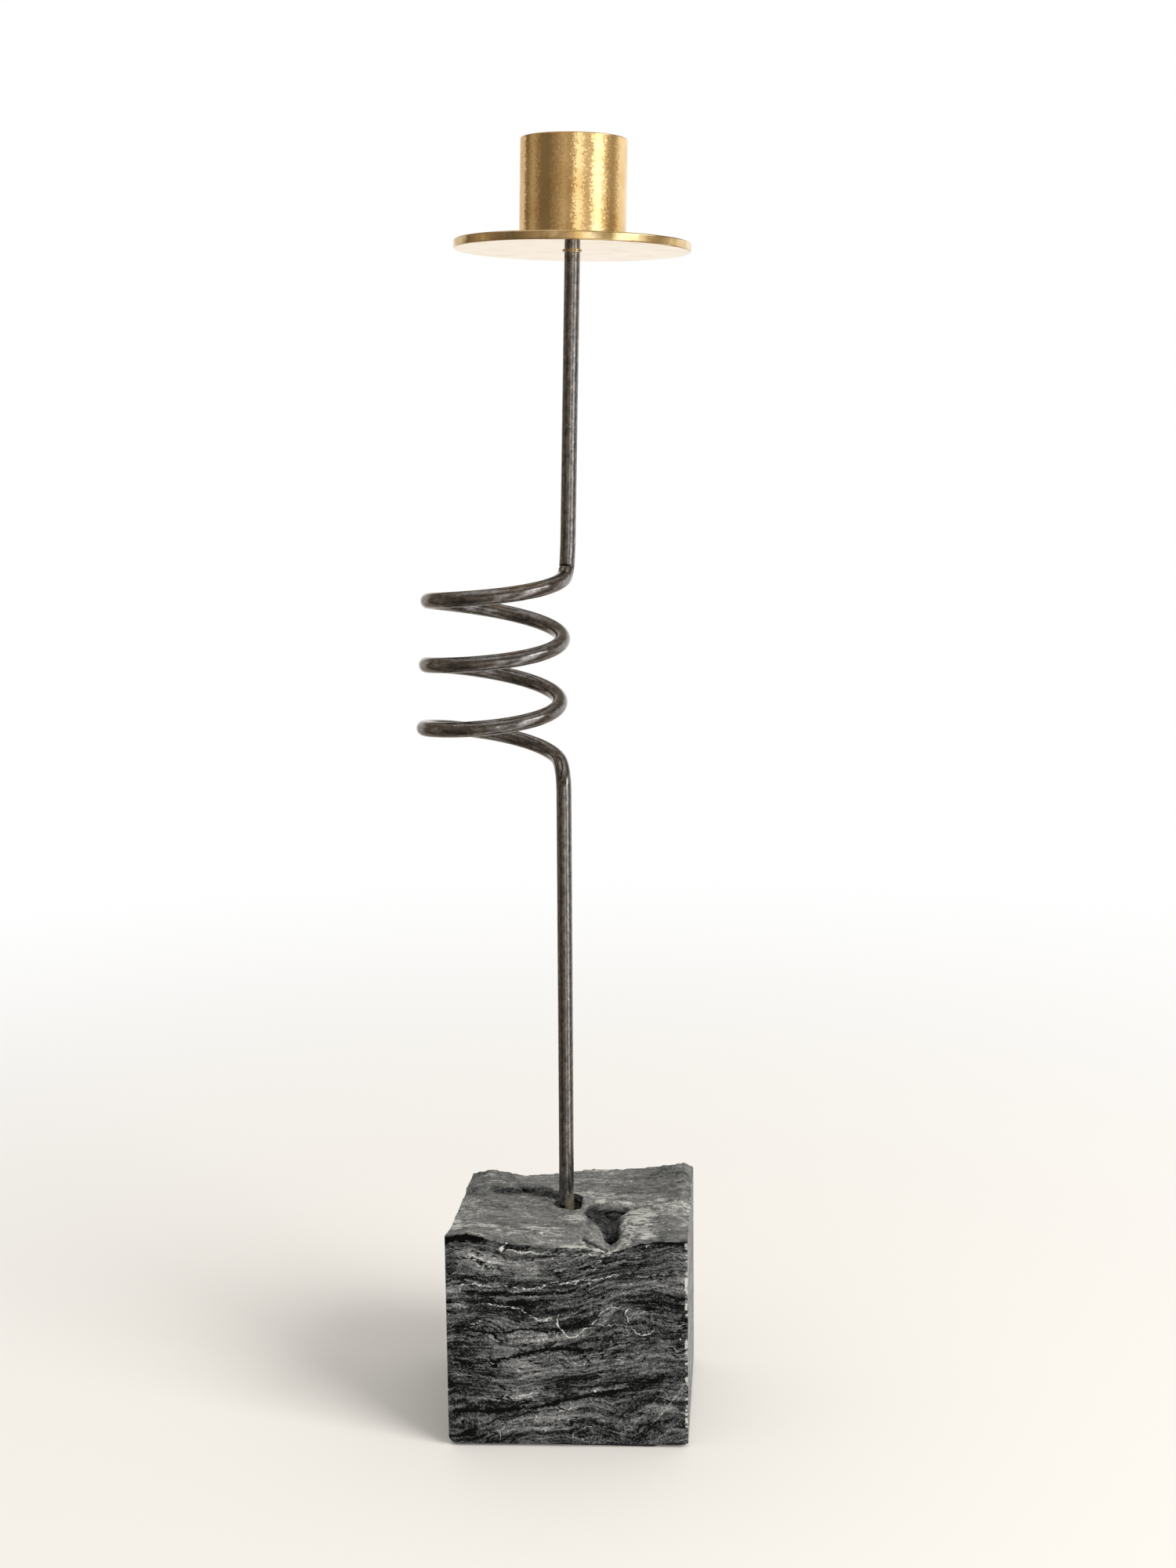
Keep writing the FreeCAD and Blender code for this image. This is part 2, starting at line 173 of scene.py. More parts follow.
def keep(piece, name, values):
    """Stores one number, or one point, for each of the mesh's points under a name."""
    are_points = hasattr(values[0], "x")
    made = piece.data.attributes.new(name, "FLOAT_VECTOR" if are_points else "FLOAT", "POINT")
    if are_points:
        made.data.foreach_set("vector", [part for point in values for part in point])
    else:
        made.data.foreach_set("value", values)


def finish(piece, name, coat, node, crisp=40):
    """Shades a finished piece, gives it its name and material, and ties it to the frame."""
    only(piece)
    bpy.ops.object.shade_smooth_by_angle(angle=math.radians(crisp))
    piece.name = piece.data.name = name
    piece.data.materials.clear()
    piece.data.materials.append(coat)
    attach(piece, "root")
    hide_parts(node)


def steady(piece):
    """Lets the large faces lead the shading, so that a rounded rim doesn't bend what a wall mirrors."""
    only(piece)
    weighted = piece.modifiers.new("weighted", "WEIGHTED_NORMAL")
    weighted.keep_sharp = True
    bpy.ops.object.modifier_apply(modifier=weighted.name)


# Camera: a phone's view from a little above, turned slightly to the left

CAMERA_PLACE = Vector((49.48, -535.96, 257.18)) * MM
CAMERA_DOWN, CAMERA_LEFT, CAMERA_ROLL = radians(9.07, 4.501, -0.60)
SENSOR = 36.0
FOCAL_PIXELS = 2654.2
PHOTO_HIGH = 2000


def make_camera():
    data = bpy.data.cameras.new("camera")
    data.sensor_width = SENSOR
    data.lens = FOCAL_PIXELS / PHOTO_HIGH * SENSOR
    camera = bpy.data.objects.new("camera", data)
    bpy.context.collection.objects.link(camera)
    aimed = Matrix.Rotation(CAMERA_LEFT, 4, "Z") @ Matrix.Rotation(math.pi / 2 - CAMERA_DOWN, 4, "X")
    rolled = aimed @ Matrix.Rotation(CAMERA_ROLL, 4, "Z")
    camera.matrix_world = Matrix.Translation(CAMERA_PLACE) @ rolled
    bpy.context.scene.camera = camera
    bpy.context.scene.view_settings.view_transform = "Standard"


# Floor: white paper, matt, that takes the soft shadow and fades to white

FLOOR_SIZE = 16.0
PAPER = "#f4f1ec"
PAPER_ROUGHNESS = 0.9
PAPER_GLOSS = 0.1
FADE = {"From Min": 0.04, "From Max": 0.75}
MIRRORED_PAPER = {"From Min": 0.05, "From Max": 0.13}


def make_floor():
    """It takes the shadow near the object, and fades to white further off. Metal mirrors only its near part
    and past it the room."""
    floor = start("plane", size=FLOOR_SIZE)
    floor.name = "floor"
    paper, tree, shader = new_material("white_paper_sweep")
    connect(tree, shader, {
        "Base Color": linear(PAPER), "Roughness": PAPER_ROUGHNESS, "Specular IOR Level": PAPER_GLOSS})
    place = add(tree, "TexCoord").outputs["Object"]
    reach = add(tree, "VectorMath", {0: place}, operation="LENGTH").outputs["Value"]
    fade = add(tree, "MapRange", {"Value": reach, **FADE}, interpolation_type="SMOOTHSTEP")
    ray = add(tree, "LightPath")
    share = add(tree, "Math", {0: fade, 1: ray.outputs["Is Camera Ray"]}, operation="MULTIPLY")
    white = add(tree, "Emission", {"Color": WHITE, "Strength": 1.0})
    mixed = add(tree, "MixShader", {0: share, 1: shader, 2: white})
    gone = add(tree, "MapRange", {"Value": reach, **MIRRORED_PAPER})
    gone = add(tree, "Math", {0: gone, 1: ray.outputs["Is Glossy Ray"]}, operation="MULTIPLY")
    mixed = add(tree, "MixShader", {0: gone, 1: mixed, 2: add(tree, "BsdfTransparent")})
    connect(tree, tree.nodes["Material Output"], {"Surface": mixed})
    floor.data.materials.append(paper)


# Light, and the room that metal mirrors

# Daylight, all round, for what is matt
PLAIN_LIGHT = 0.66
PLAIN_SHADE = "#fbf9f5"

# The room is bright behind the object and dim to the left, with two panes at the right and a higher one
# over them. Its dim parts are warm.
ROOM_LIGHT = 2.4
ROOM_TURN = math.radians(-5)
ROOM_WARM = (1.0, 0.85, 0.68, 1.0)
WARM_LEVELS = {"From Min": 0.15, "From Max": 0.45}

# The room's walls: degrees to the right of the front, and the share of its light
ROOM_SHARES = (
    (-180, 0.42), (-163, 0.40), (-150, 0.30), (-132, 0.34), (-119, 0.07), (-112, 0.11), (-95, 0.20),
    (-85, 0.135), (-74, 0.085), (-52, 0.08), (-45, 0.11), (-31, 0.16), (-17, 0.24), (-11, 0.18),
    (-4, 0.20), (2, 0.34), (8, 0.62), (17, 0.56), (22, 0.38), (30, 0.27), (36, 0.32), (43, 0.62),
    (50, 1.0), (60, 0.92), (67, 0.50), (74, 0.34), (81, 0.20), (92, 0.16), (103, 0.24), (114, 0.44),
    (132, 0.46), (180, 0.42),
)

# Its ceiling, its darker foot and its high pane, by the upward part of a direction, from -1 to 1
CEILING_SHARE = 0.12
CEILING = {"From Min": 0.18, "From Max": 0.46}
LOW_WALL = {"From Min": -0.15, "From Max": -0.40, "To Min": 1.0, "To Max": 0.62}
OVERHEAD_SHARE = 0.42
OVERHEAD = {"From Min": 0.60, "From Max": 1.0}
HIGH_PANE_SHARE = 1.4
HIGH_PANE_LEFT = {"From Min": math.radians(42), "From Max": math.radians(55)}
HIGH_PANE_RIGHT = {"From Min": math.radians(92), "From Max": math.radians(76)}
HIGH_PANE_FOOT = {"From Min": 0.21, "From Max": 0.30}
HIGH_PANE_TOP = {"From Min": 0.60, "From Max": 0.42}

# The window, seen from the object: degrees to the right and up, then metres
WINDOW_RIGHT, WINDOW_RISE = radians(57, 24)
WINDOW_AWAY = 2.6
WINDOW_WIDE = 1.4
WINDOW_HIGH = 2.1
WINDOW_POWER = 78.0
WINDOW_SHADE = "#fffdfa"
WINDOW_AIM = UP * 0.03


def add_room(tree):
    """The room that metal mirrors, as a colour for each direction."""
    way = add(tree, "TexCoord").outputs["Generated"]
    parts = add(tree, "SeparateXYZ", {0: way})
    rise = parts.outputs["Z"]
    front = add(tree, "Math", {0: parts.outputs["Y"], 1: -1.0}, operation="MULTIPLY")
    azimuth = add(tree, "Math", {0: parts.outputs["X"], 1: front}, operation="ARCTAN2")
    turned = add(tree, "Math", {0: azimuth, 1: ROOM_TURN}, operation="ADD")
    turned = add(tree, "Math", {0: turned, 1: math.pi, 2: -math.pi}, operation="WRAP")
    around = add(tree, "MapRange", {"Value": turned, "From Min": -math.pi, "From Max": math.pi})
    stops = [((angle + 180) / 360, grey(share)) for angle, share in ROOM_SHARES]
    level = set_stops(add(tree, "ValToRGB", {0: around}), stops)
    ceiling = add(tree, "MapRange", {"Value": rise, **CEILING}, interpolation_type="SMOOTHSTEP")
    level = add(tree, "MixRGB", {0: ceiling, 1: level, 2: grey(CEILING_SHARE)})
    low = add(tree, "MapRange", {"Value": rise, **LOW_WALL})
    level = add(tree, "MixRGB", {0: 1.0, 1: level, 2: low}, blend_type="MULTIPLY")
    pane = HIGH_PANE_SHARE
    for source, edge in (
        (turned, HIGH_PANE_LEFT), (turned, HIGH_PANE_RIGHT), (rise, HIGH_PANE_FOOT), (rise, HIGH_PANE_TOP),
    ):
        inside = add(tree, "MapRange", {"Value": source, **edge}, interpolation_type="SMOOTHSTEP")
        pane = add(tree, "Math", {0: pane, 1: inside}, operation="MULTIPLY")
    level = add(tree, "VectorMath", {0: level, 1: pane}, operation="ADD")
    overhead = add(tree, "MapRange", {"Value": rise, **OVERHEAD})
    level = add(tree, "MixRGB", {0: overhead, 1: level, 2: grey(OVERHEAD_SHARE)})
    cool = add(tree, "MapRange", {"Value": level, **WARM_LEVELS})
    cool = add(tree, "Math", {0: cool, 1: overhead}, operation="MAXIMUM")
    tint = add(tree, "MixRGB", {0: cool, 1: ROOM_WARM, 2: WHITE})
    return add(tree, "MixRGB", {0: 1.0, 1: level, 2: tint}, blend_type="MULTIPLY")


def make_world():
    """White to the camera, plain daylight on what is matt, and the room where metal mirrors it."""
    world = bpy.data.worlds.new("room")
    bpy.context.scene.world = world
    world.use_nodes = True
    tree = world.node_tree
    ray = add(tree, "LightPath")
    plain = add(tree, "Background", {"Color": linear(PLAIN_SHADE), "Strength": PLAIN_LIGHT})
    mirrored = add(tree, "Background", {"Color": add_room(tree), "Strength": ROOM_LIGHT})
    backdrop = add(tree, "Background", {"Color": WHITE, "Strength": 1.0})
    light = add(tree, "MixShader", {0: ray.outputs["Is Glossy Ray"], 1: plain, 2: mirrored})
    shown = add(tree, "MixShader", {0: ray.outputs["Is Camera Ray"], 1: light, 2: backdrop})
    connect(tree, tree.nodes["World Output"], {"Surface": shown})


def make_window():
    """Soft daylight from a pane that faces the object. What metal mirrors of it is in the room."""
    data = bpy.data.lights.new("window_light", "AREA")
    data.shape = "RECTANGLE"
    data.size, data.size_y = WINDOW_WIDE, WINDOW_HIGH
    data.energy = WINDOW_POWER
    data.color = linear(WINDOW_SHADE)[:3]
    lamp = bpy.data.objects.new("window_light", data)
    bpy.context.collection.objects.link(lamp)
    level_way = Vector((math.sin(WINDOW_RIGHT), -math.cos(WINDOW_RIGHT), 0))
    away = level_way * math.cos(WINDOW_RISE) + UP * math.sin(WINDOW_RISE)
    lamp.location = WINDOW_AIM + away * WINDOW_AWAY
    lamp.rotation_euler = away.to_track_quat("Z", "Y").to_euler()
    lamp.visible_camera = False
    lamp.visible_glossy = False


make_camera()
make_floor()
make_world()
make_window()


# Where the upright pieces stand, from the frame's socket for the candle

SOCKET = next(mount for mount in frame["record"]["mounts"] if mount["name"] == "candle_socket")
UPPER_LINE = Vector(SOCKET["axis"]).normalized()
SOCKET_MIDDLE = Vector(SOCKET["pos_m"])
SOCKET_LENGTH = SOCKET["dims"]["length_mm"] * MM
CUP_FLOOR_HIGH = 3.0 * MM
PLATE_THICK = 2.2 * MM
RING_THICK = 0.35 * MM
CUP_UNDERSIDE = SOCKET_MIDDLE - UPPER_LINE * (SOCKET_LENGTH / 2 + CUP_FLOOR_HIGH)
PLATE_UNDERSIDE = CUP_UNDERSIDE - UPPER_LINE * PLATE_THICK
ROD_HEAD = PLATE_UNDERSIDE - UPPER_LINE * RING_THICK


# Brass: polished and a little aged. It mirrors the room in warm bands, with faint rings from the lathe.

BRASS = "#f0cd92"
BRASS_SHEET = "#efd3a3"
# Near white brass for the ring: a painted highlight along its thin edge
BRASS_PAINTED_HIGHLIGHT = "#fbf7ee"
BRASS_WORN = "#dab170"
BRASS_BROWN = "#b2985c"
WORN_PATCHES = {"Scale": 1 / (8 * MM), "Detail": 3.0}
WORN = {"From Min": 0.45, "From Max": 0.75}
DULL_SHARES = (0.7, 1.5)
HAND_MARKS = {"Scale": 1 / (5 * MM), "Detail": 4.0, "Roughness": 0.6}
TOUCHED = {"From Min": 0.45, "From Max": 0.70}
RIM_FADE = 0.1 * MM
CRINKLE = {"Detail": 3.0, "Distortion": 0.6}
CUP_CRINKLES = 0.5 * MM
SHEET_WAVES = 2 * MM
CUP_MARKS = 0.5 * MM
SHEET_MARKS = 0.8 * MM
TURNING_DETAIL = 2.0
TURNING_SHARE = 0.012


def make_brass(name, shade, roughness, tilt, wave, marks, rim=None):
    """Brass whose polish tilts what it mirrors sideways in fine waves, with turning marks round the lathe's
    axis. Past a radius, the rim, it is browner where hands have touched it."""
    coat, tree, shader = new_material(name)
    place = add(tree, "Attribute", attribute_name="turned").outputs["Vector"]
    parts = add(tree, "SeparateXYZ", {0: place})
    flat = add(tree, "CombineXYZ", {0: parts.outputs["X"], 1: parts.outputs["Y"]})
    radius = add(tree, "VectorMath", {0: flat}, operation="LENGTH").outputs["Value"]
    patches = add(tree, "TexNoise", {"Vector": place, **WORN_PATCHES})
    worn = add(tree, "MapRange", {"Value": patches, **WORN})
    tone = add(tree, "MixRGB", {0: worn, 1: linear(shade), 2: linear(BRASS_WORN)})
    least, most = (roughness * share for share in DULL_SHARES)
    dull = add(tree, "MapRange", {"Value": patches, "To Min": least, "To Max": most})
    if rim:
        touch = add(tree, "TexNoise", {"Vector": place, **HAND_MARKS})
        touch = add(tree, "MapRange", {"Value": touch, **TOUCHED})
        outer = add(tree, "MapRange", {"Value": radius, "From Min": rim - RIM_FADE, "From Max": rim})
        touch = add(tree, "Math", {0: touch, 1: outer}, operation="MULTIPLY")
        tone = add(tree, "MixRGB", {0: touch, 1: tone, 2: linear(BRASS_BROWN)})
    waves = add(tree, "TexNoise", {"Vector": place, "Scale": 1 / wave, **CRINKLE})
    lean = add(tree, "MapRange", {"Value": waves, "To Min": -tilt, "To Max": tilt})
    face = add(tree, "NewGeometry").outputs["Normal"]
    side = add(tree, "VectorMath", {0: tuple(UPPER_LINE), 1: face}, operation="CROSS_PRODUCT")
    side = add(tree, "VectorMath", {0: side, "Scale": lean}, operation="SCALE")
    tilted = add(tree, "VectorMath", {0: face, 1: side}, operation="ADD")
    tilted = add(tree, "VectorMath", {0: tilted}, operation="NORMALIZE")
    ringed = add(tree, "CombineXYZ", {0: radius, 2: parts.outputs["Z"]})
    rings = add(tree, "TexNoise", {"Vector": ringed, "Scale": 1 / marks, "Detail": TURNING_DETAIL})
    turning = add(tree, "Bump", {
        "Height": rings, "Distance": marks * TURNING_SHARE, "Strength": 1.0, "Normal": tilted})
    connect(tree, shader, {"Base Color": tone, "Metallic": 1.0, "Roughness": dull, "Normal": turning})
    return coat


CUP_RADIUS = 13.5 * MM
CUP_HIGH = 25 * MM
CUP_SIDES = 192
BORE_RADIUS = 11.5 * MM
LIP = 0.3 * MM
SCREW_HEAD_RADIUS = 2.35 * MM
SCREW_HOLE_RADIUS = 1.35 * MM
SCREW_TAPER = 1.25 * MM
PLATE_RADIUS = 30 * MM
PLATE_SIDES = 256
PLATE_EDGE = 0.4 * MM
HANDLED_RADIUS = 29.2 * MM
RING_RADIUS = 2.6 * MM
RING_SIDES = 64
RING_EDGE = 0.1 * MM
MOUTH_SHARE = 1.01

# Turned bar, polished: sharp warm bands down the wall, crinkled like beaten metal
CUP_BRASS = make_brass(
    "polished_turned_brass", BRASS, roughness=0.05, tilt=0.19, wave=CUP_CRINKLES, marks=CUP_MARKS)
# Sheet, polished flat: a calm mirror, browner round its edge
PLATE_BRASS = make_brass(
    "polished_sheet_brass", BRASS_SHEET, roughness=0.07, tilt=0.05, wave=SHEET_WAVES, marks=SHEET_MARKS,
    rim=HANDLED_RADIUS)
# Thin sheet seen from its edge: brass painted pale, a painted highlight, so that it shows as one bright line
RING_BRASS = make_brass(
    "sheet_brass_painted_highlight", BRASS_PAINTED_HIGHLIGHT, roughness=0.15, tilt=0.05, wave=SHEET_WAVES, marks=SHEET_MARKS)


def turn_disc(radius, high, sides):
    """Round bar end on the lathe's axis, its foot at the origin, left in edit mode."""
    disc = start("cylinder", vertices=sides, radius=radius, depth=high, location=UP * (high / 2),
                 end_fill_type="NGON")
    bpy.ops.object.mode_set(mode="EDIT")
    return disc


def bore_through(disc, start_radius, radius, top):
    """Opens a screw hole from a flat round face at a height down to the underside."""
    select(disc, "FACE", lambda face: face.normal.z > FACING
           and (face.calc_center_median() - UP * top).length < TINY)
    if start_radius > radius:
        bpy.ops.mesh.inset(thickness=start_radius - radius)
    select(disc, "FACE", lambda face: face.normal.z < -FACING
           and face.calc_center_median().xy.length < TINY)
    foot_radius = max(v.co.xy.length for v in bmesh.from_edit_mesh(disc.data).verts if v.co.z < TINY)
    bpy.ops.mesh.inset(thickness=foot_radius - radius)
    select(disc, "FACE", lambda face: abs(face.normal.z) > FACING
           and all(v.co.xy.length < radius * MOUTH_SHARE for v in face.verts))
    bpy.ops.mesh.bridge_edge_loops()


def round_rims(disc, wanted, size, steps):
    """Rounds the edges of circles that a test picks by radius and height."""
    select(disc, "EDGE", lambda edge: abs(edge.verts[0].co.z - edge.verts[1].co.z) < TINY
           and all(wanted(v.co.xy.length, v.co.z) for v in edge.verts))
    bpy.ops.mesh.bevel(offset=size, segments=steps, affect="EDGES")


def stand(disc, base):
    """Keeps each point's place as turned on the lathe, then stands the piece on the leaning rod."""
    bpy.ops.object.mode_set(mode="OBJECT")
    keep(disc, "turned", [vertex.co.copy() for vertex in disc.data.vertices])
    disc.matrix_world = Matrix.Translation(base) @ UP.rotation_difference(UPPER_LINE).to_matrix().to_4x4()
    settle(disc)


def make_cup():
    """Cup bored for the candle, with a countersunk hole in its floor and softened rims."""
    cup = turn_disc(CUP_RADIUS, CUP_HIGH, CUP_SIDES)
    select(cup, "FACE", lambda face: face.normal.z > FACING)
    bpy.ops.mesh.inset(thickness=CUP_RADIUS - BORE_RADIUS)
    bpy.ops.mesh.extrude_region_move(
        TRANSFORM_OT_translate={"value": (0, 0, CUP_FLOOR_HIGH - CUP_HIGH)})
    bpy.ops.mesh.inset(thickness=BORE_RADIUS - SCREW_HEAD_RADIUS)
    bpy.ops.mesh.extrude_region_move(TRANSFORM_OT_translate={"value": (0, 0, -SCREW_TAPER)})
    narrow = SCREW_HOLE_RADIUS / SCREW_HEAD_RADIUS
    bpy.ops.transform.resize(value=(narrow, narrow, 1), center_override=(0, 0, 0))
    bore_through(cup, SCREW_HOLE_RADIUS, SCREW_HOLE_RADIUS, CUP_FLOOR_HIGH - SCREW_TAPER)
    round_rims(cup, lambda radius, z: (
        (abs(radius - CUP_RADIUS) < NEAR and (z < NEAR or z > CUP_HIGH - NEAR))
        or (abs(radius - BORE_RADIUS) < NEAR and z > CUP_HIGH - NEAR)), LIP, steps=3)
    stand(cup, CUP_UNDERSIDE)
    finish(cup, "brass_cup", CUP_BRASS, "candle_cup")
    steady(cup)


def make_plate():
    plate = turn_disc(PLATE_RADIUS, PLATE_THICK, PLATE_SIDES)
    bore_through(plate, PLATE_RADIUS, SCREW_HOLE_RADIUS, PLATE_THICK)
    round_rims(plate, lambda radius, z: abs(radius - PLATE_RADIUS) < NEAR, PLATE_EDGE, steps=4)
    stand(plate, PLATE_UNDERSIDE)
    finish(plate, "brass_plate", PLATE_BRASS, "drip_plate")
    steady(plate)


def make_ring():
    ring = turn_disc(RING_RADIUS, RING_THICK, RING_SIDES)
    bore_through(ring, RING_RADIUS, SCREW_HOLE_RADIUS, RING_THICK)
    round_rims(ring, lambda radius, z: abs(radius - RING_RADIUS) < NEAR, RING_EDGE, steps=2)
    stand(ring, ROD_HEAD)
    finish(ring, "brass_ring", RING_BRASS, "plate_ring")


make_cup()
make_plate()
make_ring()


# Rod: its line in millimetres, as straight runs, bends and a coil

ROD_RADIUS = 2.0
LOWER_LEAN = 0.315
ROD_FOOT_HIGH = 20.5
LOWER_ROD_TOP = 169.1
LOWER_BEND_RISE = 7.6
COIL_TURNS = 3
COIL_RADIUS = 17.55
COIL_PITCH = 16.7
COIL_OPENING = 0.9
OPENING_SHARE = 0.5
OPENING_POWER = 4
COIL_LEAN_RIGHT = 3.3
COIL_LEAN_FRONT = 3.0
COIL_SIDE_INSET = 1.0
COIL_BACK_OFFSET = 1.9
COIL_START = 15.3
COIL_FINISH = 9.4
UPPER_OFFSET = Vector((0.8, 1.7, 10.2))
STEPS_A_TURN = 96
STEPS_A_BEND = 40
STEPS_A_RUN = 40
TURN_STEP = 1 / 3600
ROD_SIDES = 32


def leaning(right, front=0.0):
    """Unit vector of an upright line that leans right and to the front, in degrees."""
    return Vector((math.tan(math.radians(right)), -math.tan(math.radians(front)), 1)).normalized()


def arc_points(first, direction, last):
    """Points on the arc that leaves its first point along a direction, that point left out."""
    chord = last - first
    side = (chord - direction * chord.dot(direction)).normalized()
    radius = chord.dot(chord) / (2 * chord.dot(side))
    angle = 2 * math.atan2(chord.dot(side), chord.dot(direction))
    turns = [angle * step / STEPS_A_BEND for step in range(1, STEPS_A_BEND + 1)]
    return [first + (direction * math.sin(turn) + side * (1 - math.cos(turn))) * radius for turn in turns]


def bend_points(first, first_way, last, last_way):
    """Points on two arcs that join two directions, the first point left out."""
    span = last - first
    both = first_way + last_way
    spread = 2 * (1 - first_way.dot(last_way))
    root = math.sqrt(span.dot(both) ** 2 + spread * span.dot(span))
    reach = (root - span.dot(both)) / spread
    joint = (first + first_way * reach + last - last_way * reach) / 2
    back = arc_points(last, -last_way, joint)
    return arc_points(first, first_way, joint) + back[-2::-1] + [last]


def rod_line():
    """Centre line of the rod: rod, bend, coil, bend, rod."""
    lower_line = leaning(LOWER_LEAN)
    axis = leaning(COIL_LEAN_RIGHT, COIL_LEAN_FRONT)
    side = (Vector((1, 0, 0)) - axis * axis.x).normalized()
    back = axis.cross(side)
    foot = lower_line * ((LOWER_ROD_TOP + LOWER_BEND_RISE) / lower_line.z)
    foot += Vector((-(COIL_RADIUS + COIL_OPENING + COIL_SIDE_INSET), COIL_BACK_OFFSET, 0))

    def coil_point(turn):
        opening = max(0.0, 1 - turn / COIL_TURNS / OPENING_SHARE) ** OPENING_POWER
        around = side * math.cos(turn * FULL_TURN) + back * math.sin(turn * FULL_TURN)
        return foot + axis * (COIL_PITCH * turn) + around * (COIL_RADIUS + COIL_OPENING * opening)

    def coil_way(turn):
        return (coil_point(turn + TURN_STEP) - coil_point(turn - TURN_STEP)).normalized()

    first, last = COIL_START / 360, COIL_TURNS - COIL_FINISH / 360
    rod_foot = lower_line * (ROD_FOOT_HIGH / lower_line.z)
    lower_bend = lower_line * (LOWER_ROD_TOP / lower_line.z)
    upper_bend = coil_point(COIL_TURNS) + UPPER_OFFSET
    rod_head = ROD_HEAD / MM
    steps = round((last - first) * STEPS_A_TURN)
    line = [rod_foot.lerp(lower_bend, step / STEPS_A_RUN) for step in range(STEPS_A_RUN + 1)]
    line += bend_points(lower_bend, lower_line, coil_point(first), coil_way(first))
    line += [coil_point(first + (last - first) * step / steps) for step in range(1, steps + 1)]
    line += bend_points(coil_point(last), coil_way(last), upper_bend, UPPER_LINE)
    line += [upper_bend.lerp(rod_head, step / STEPS_A_RUN) for step in range(1, STEPS_A_RUN + 1)]
    return line


# Steel of the rod

# Hot-rolled bar with its mill scale on, waxed: dark grey-brown, mottled and flecked, with a soft shine
SCALE_DARK = "#504e4d"
SCALE = "#7a7776"
SCALE_RUBBED = "#a39d96"
SCALE_RUST = "#7a6e66"
SCALE_FLECK = "#cfc9c0"
# Painted shade for the pinch mark's crease
CREASE_PAINTED_SHADE = "#1d1b1a"
RESIN_SMEAR = "#575038"
DRAWN_OUT = (1, 1, 0.5)
MOTTLES = {"Scale": 1 / (0.8 * MM), "Detail": 4.0, "Roughness": 0.7}
MOTTLE_SHADES = ((0.30, SCALE_DARK), (0.50, SCALE), (0.72, SCALE_RUBBED))
MOTTLE_ROUGHNESS = {"From Min": 0.3, "From Max": 0.7, "To Min": 0.09, "To Max": 0.22}
STAINS = {"Scale": 1 / (6 * MM), "Detail": 2.0}
STAINED = {"From Min": 0.55, "From Max": 0.80, "To Max": 0.6}
FLECKS = {"Scale": 1 / (1.2 * MM), "Detail": 4.0, "Roughness": 0.7}
FLECKED = {"From Min": 0.62, "From Max": 0.70, "To Max": 0.55}
SMEARED = {"From Min": 0.35, "From Max": 0.60, "To Min": 0.25}
PITS = {"Scale": 1 / (0.45 * MM), "Detail": 3.0}
PIT_DEEP = 0.011 * MM


def make_steel():
    coat, tree, shader = new_material("mill_scale_steel")
    bar = add(tree, "Attribute", attribute_name="bar").outputs["Vector"]
    drawn = add(tree, "Mapping", {"Vector": bar, "Scale": DRAWN_OUT})
    mottle = add(tree, "TexNoise", {"Vector": drawn, **MOTTLES})
    stops = [(at, linear(shade)) for at, shade in MOTTLE_SHADES]
    tone = set_stops(add(tree, "ValToRGB", {0: mottle}), stops)
    rusty = add(tree, "MapRange", {"Value": add(tree, "TexNoise", {"Vector": bar, **STAINS}), **STAINED})
    tone = add(tree, "MixRGB", {0: rusty, 1: tone, 2: linear(SCALE_RUST)})
    flecks = add(tree, "MapRange", {"Value": add(tree, "TexNoise", {"Vector": bar, **FLECKS}), **FLECKED})
    tone = add(tree, "MixRGB", {0: flecks, 1: tone, 2: linear(SCALE_FLECK)})
    smear = add(tree, "MapRange", {"Value": mottle, **SMEARED})
    resin = add(tree, "Attribute", attribute_name="resin").outputs["Fac"]
    resin = add(tree, "Math", {0: resin, 1: smear}, operation="MULTIPLY")
    tone = add(tree, "MixRGB", {0: resin, 1: tone, 2: linear(RESIN_SMEAR)})
    # Painted shade in the pinch mark under the upper bend
    crease_shade = add(tree, "Attribute", attribute_name="crease_shade").outputs["Fac"]
    tone = add(tree, "MixRGB", {0: crease_shade, 1: tone, 2: linear(CREASE_PAINTED_SHADE)})
    metal = add(tree, "Math", {0: 1.0, 1: resin}, operation="SUBTRACT")
    dull = add(tree, "MapRange", {"Value": mottle, **MOTTLE_ROUGHNESS})
    pits = add(tree, "TexNoise", {"Vector": drawn, **PITS})
    bump = add(tree, "Bump", {"Height": pits, "Distance": PIT_DEEP, "Strength": 1.0})
    connect(tree, shader, {"Base Color": tone, "Metallic": metal, "Roughness": dull, "Normal": bump})
    return coat


# The pinch mark under the upper bend, in millimetres: a dent, with painted shade in it
CREASE_HIGH = 227.7
CREASE_WAY = Vector((-0.25, -0.75, 0.55)).normalized()
CREASE_DEEP = 0.30
CREASE_WIDE = 0.40
CREASE_EDGE = (-0.1, 0.7)

# The smear of resin at the stone: its top in millimetres, its sides in degrees to the right of the front
SMEAR_TOP = (60.8, 59.2)
SMEAR_RAGGED = 1.5
SMEAR_LEFT_END = -12
SMEAR_LEFT_FULL = 6
SMEAR_LEFT_RAGGED = 14
SMEAR_RIGHT = (120, 95)
SMEAR_STRETCH = Vector((0.9, 0.9, 0.27))


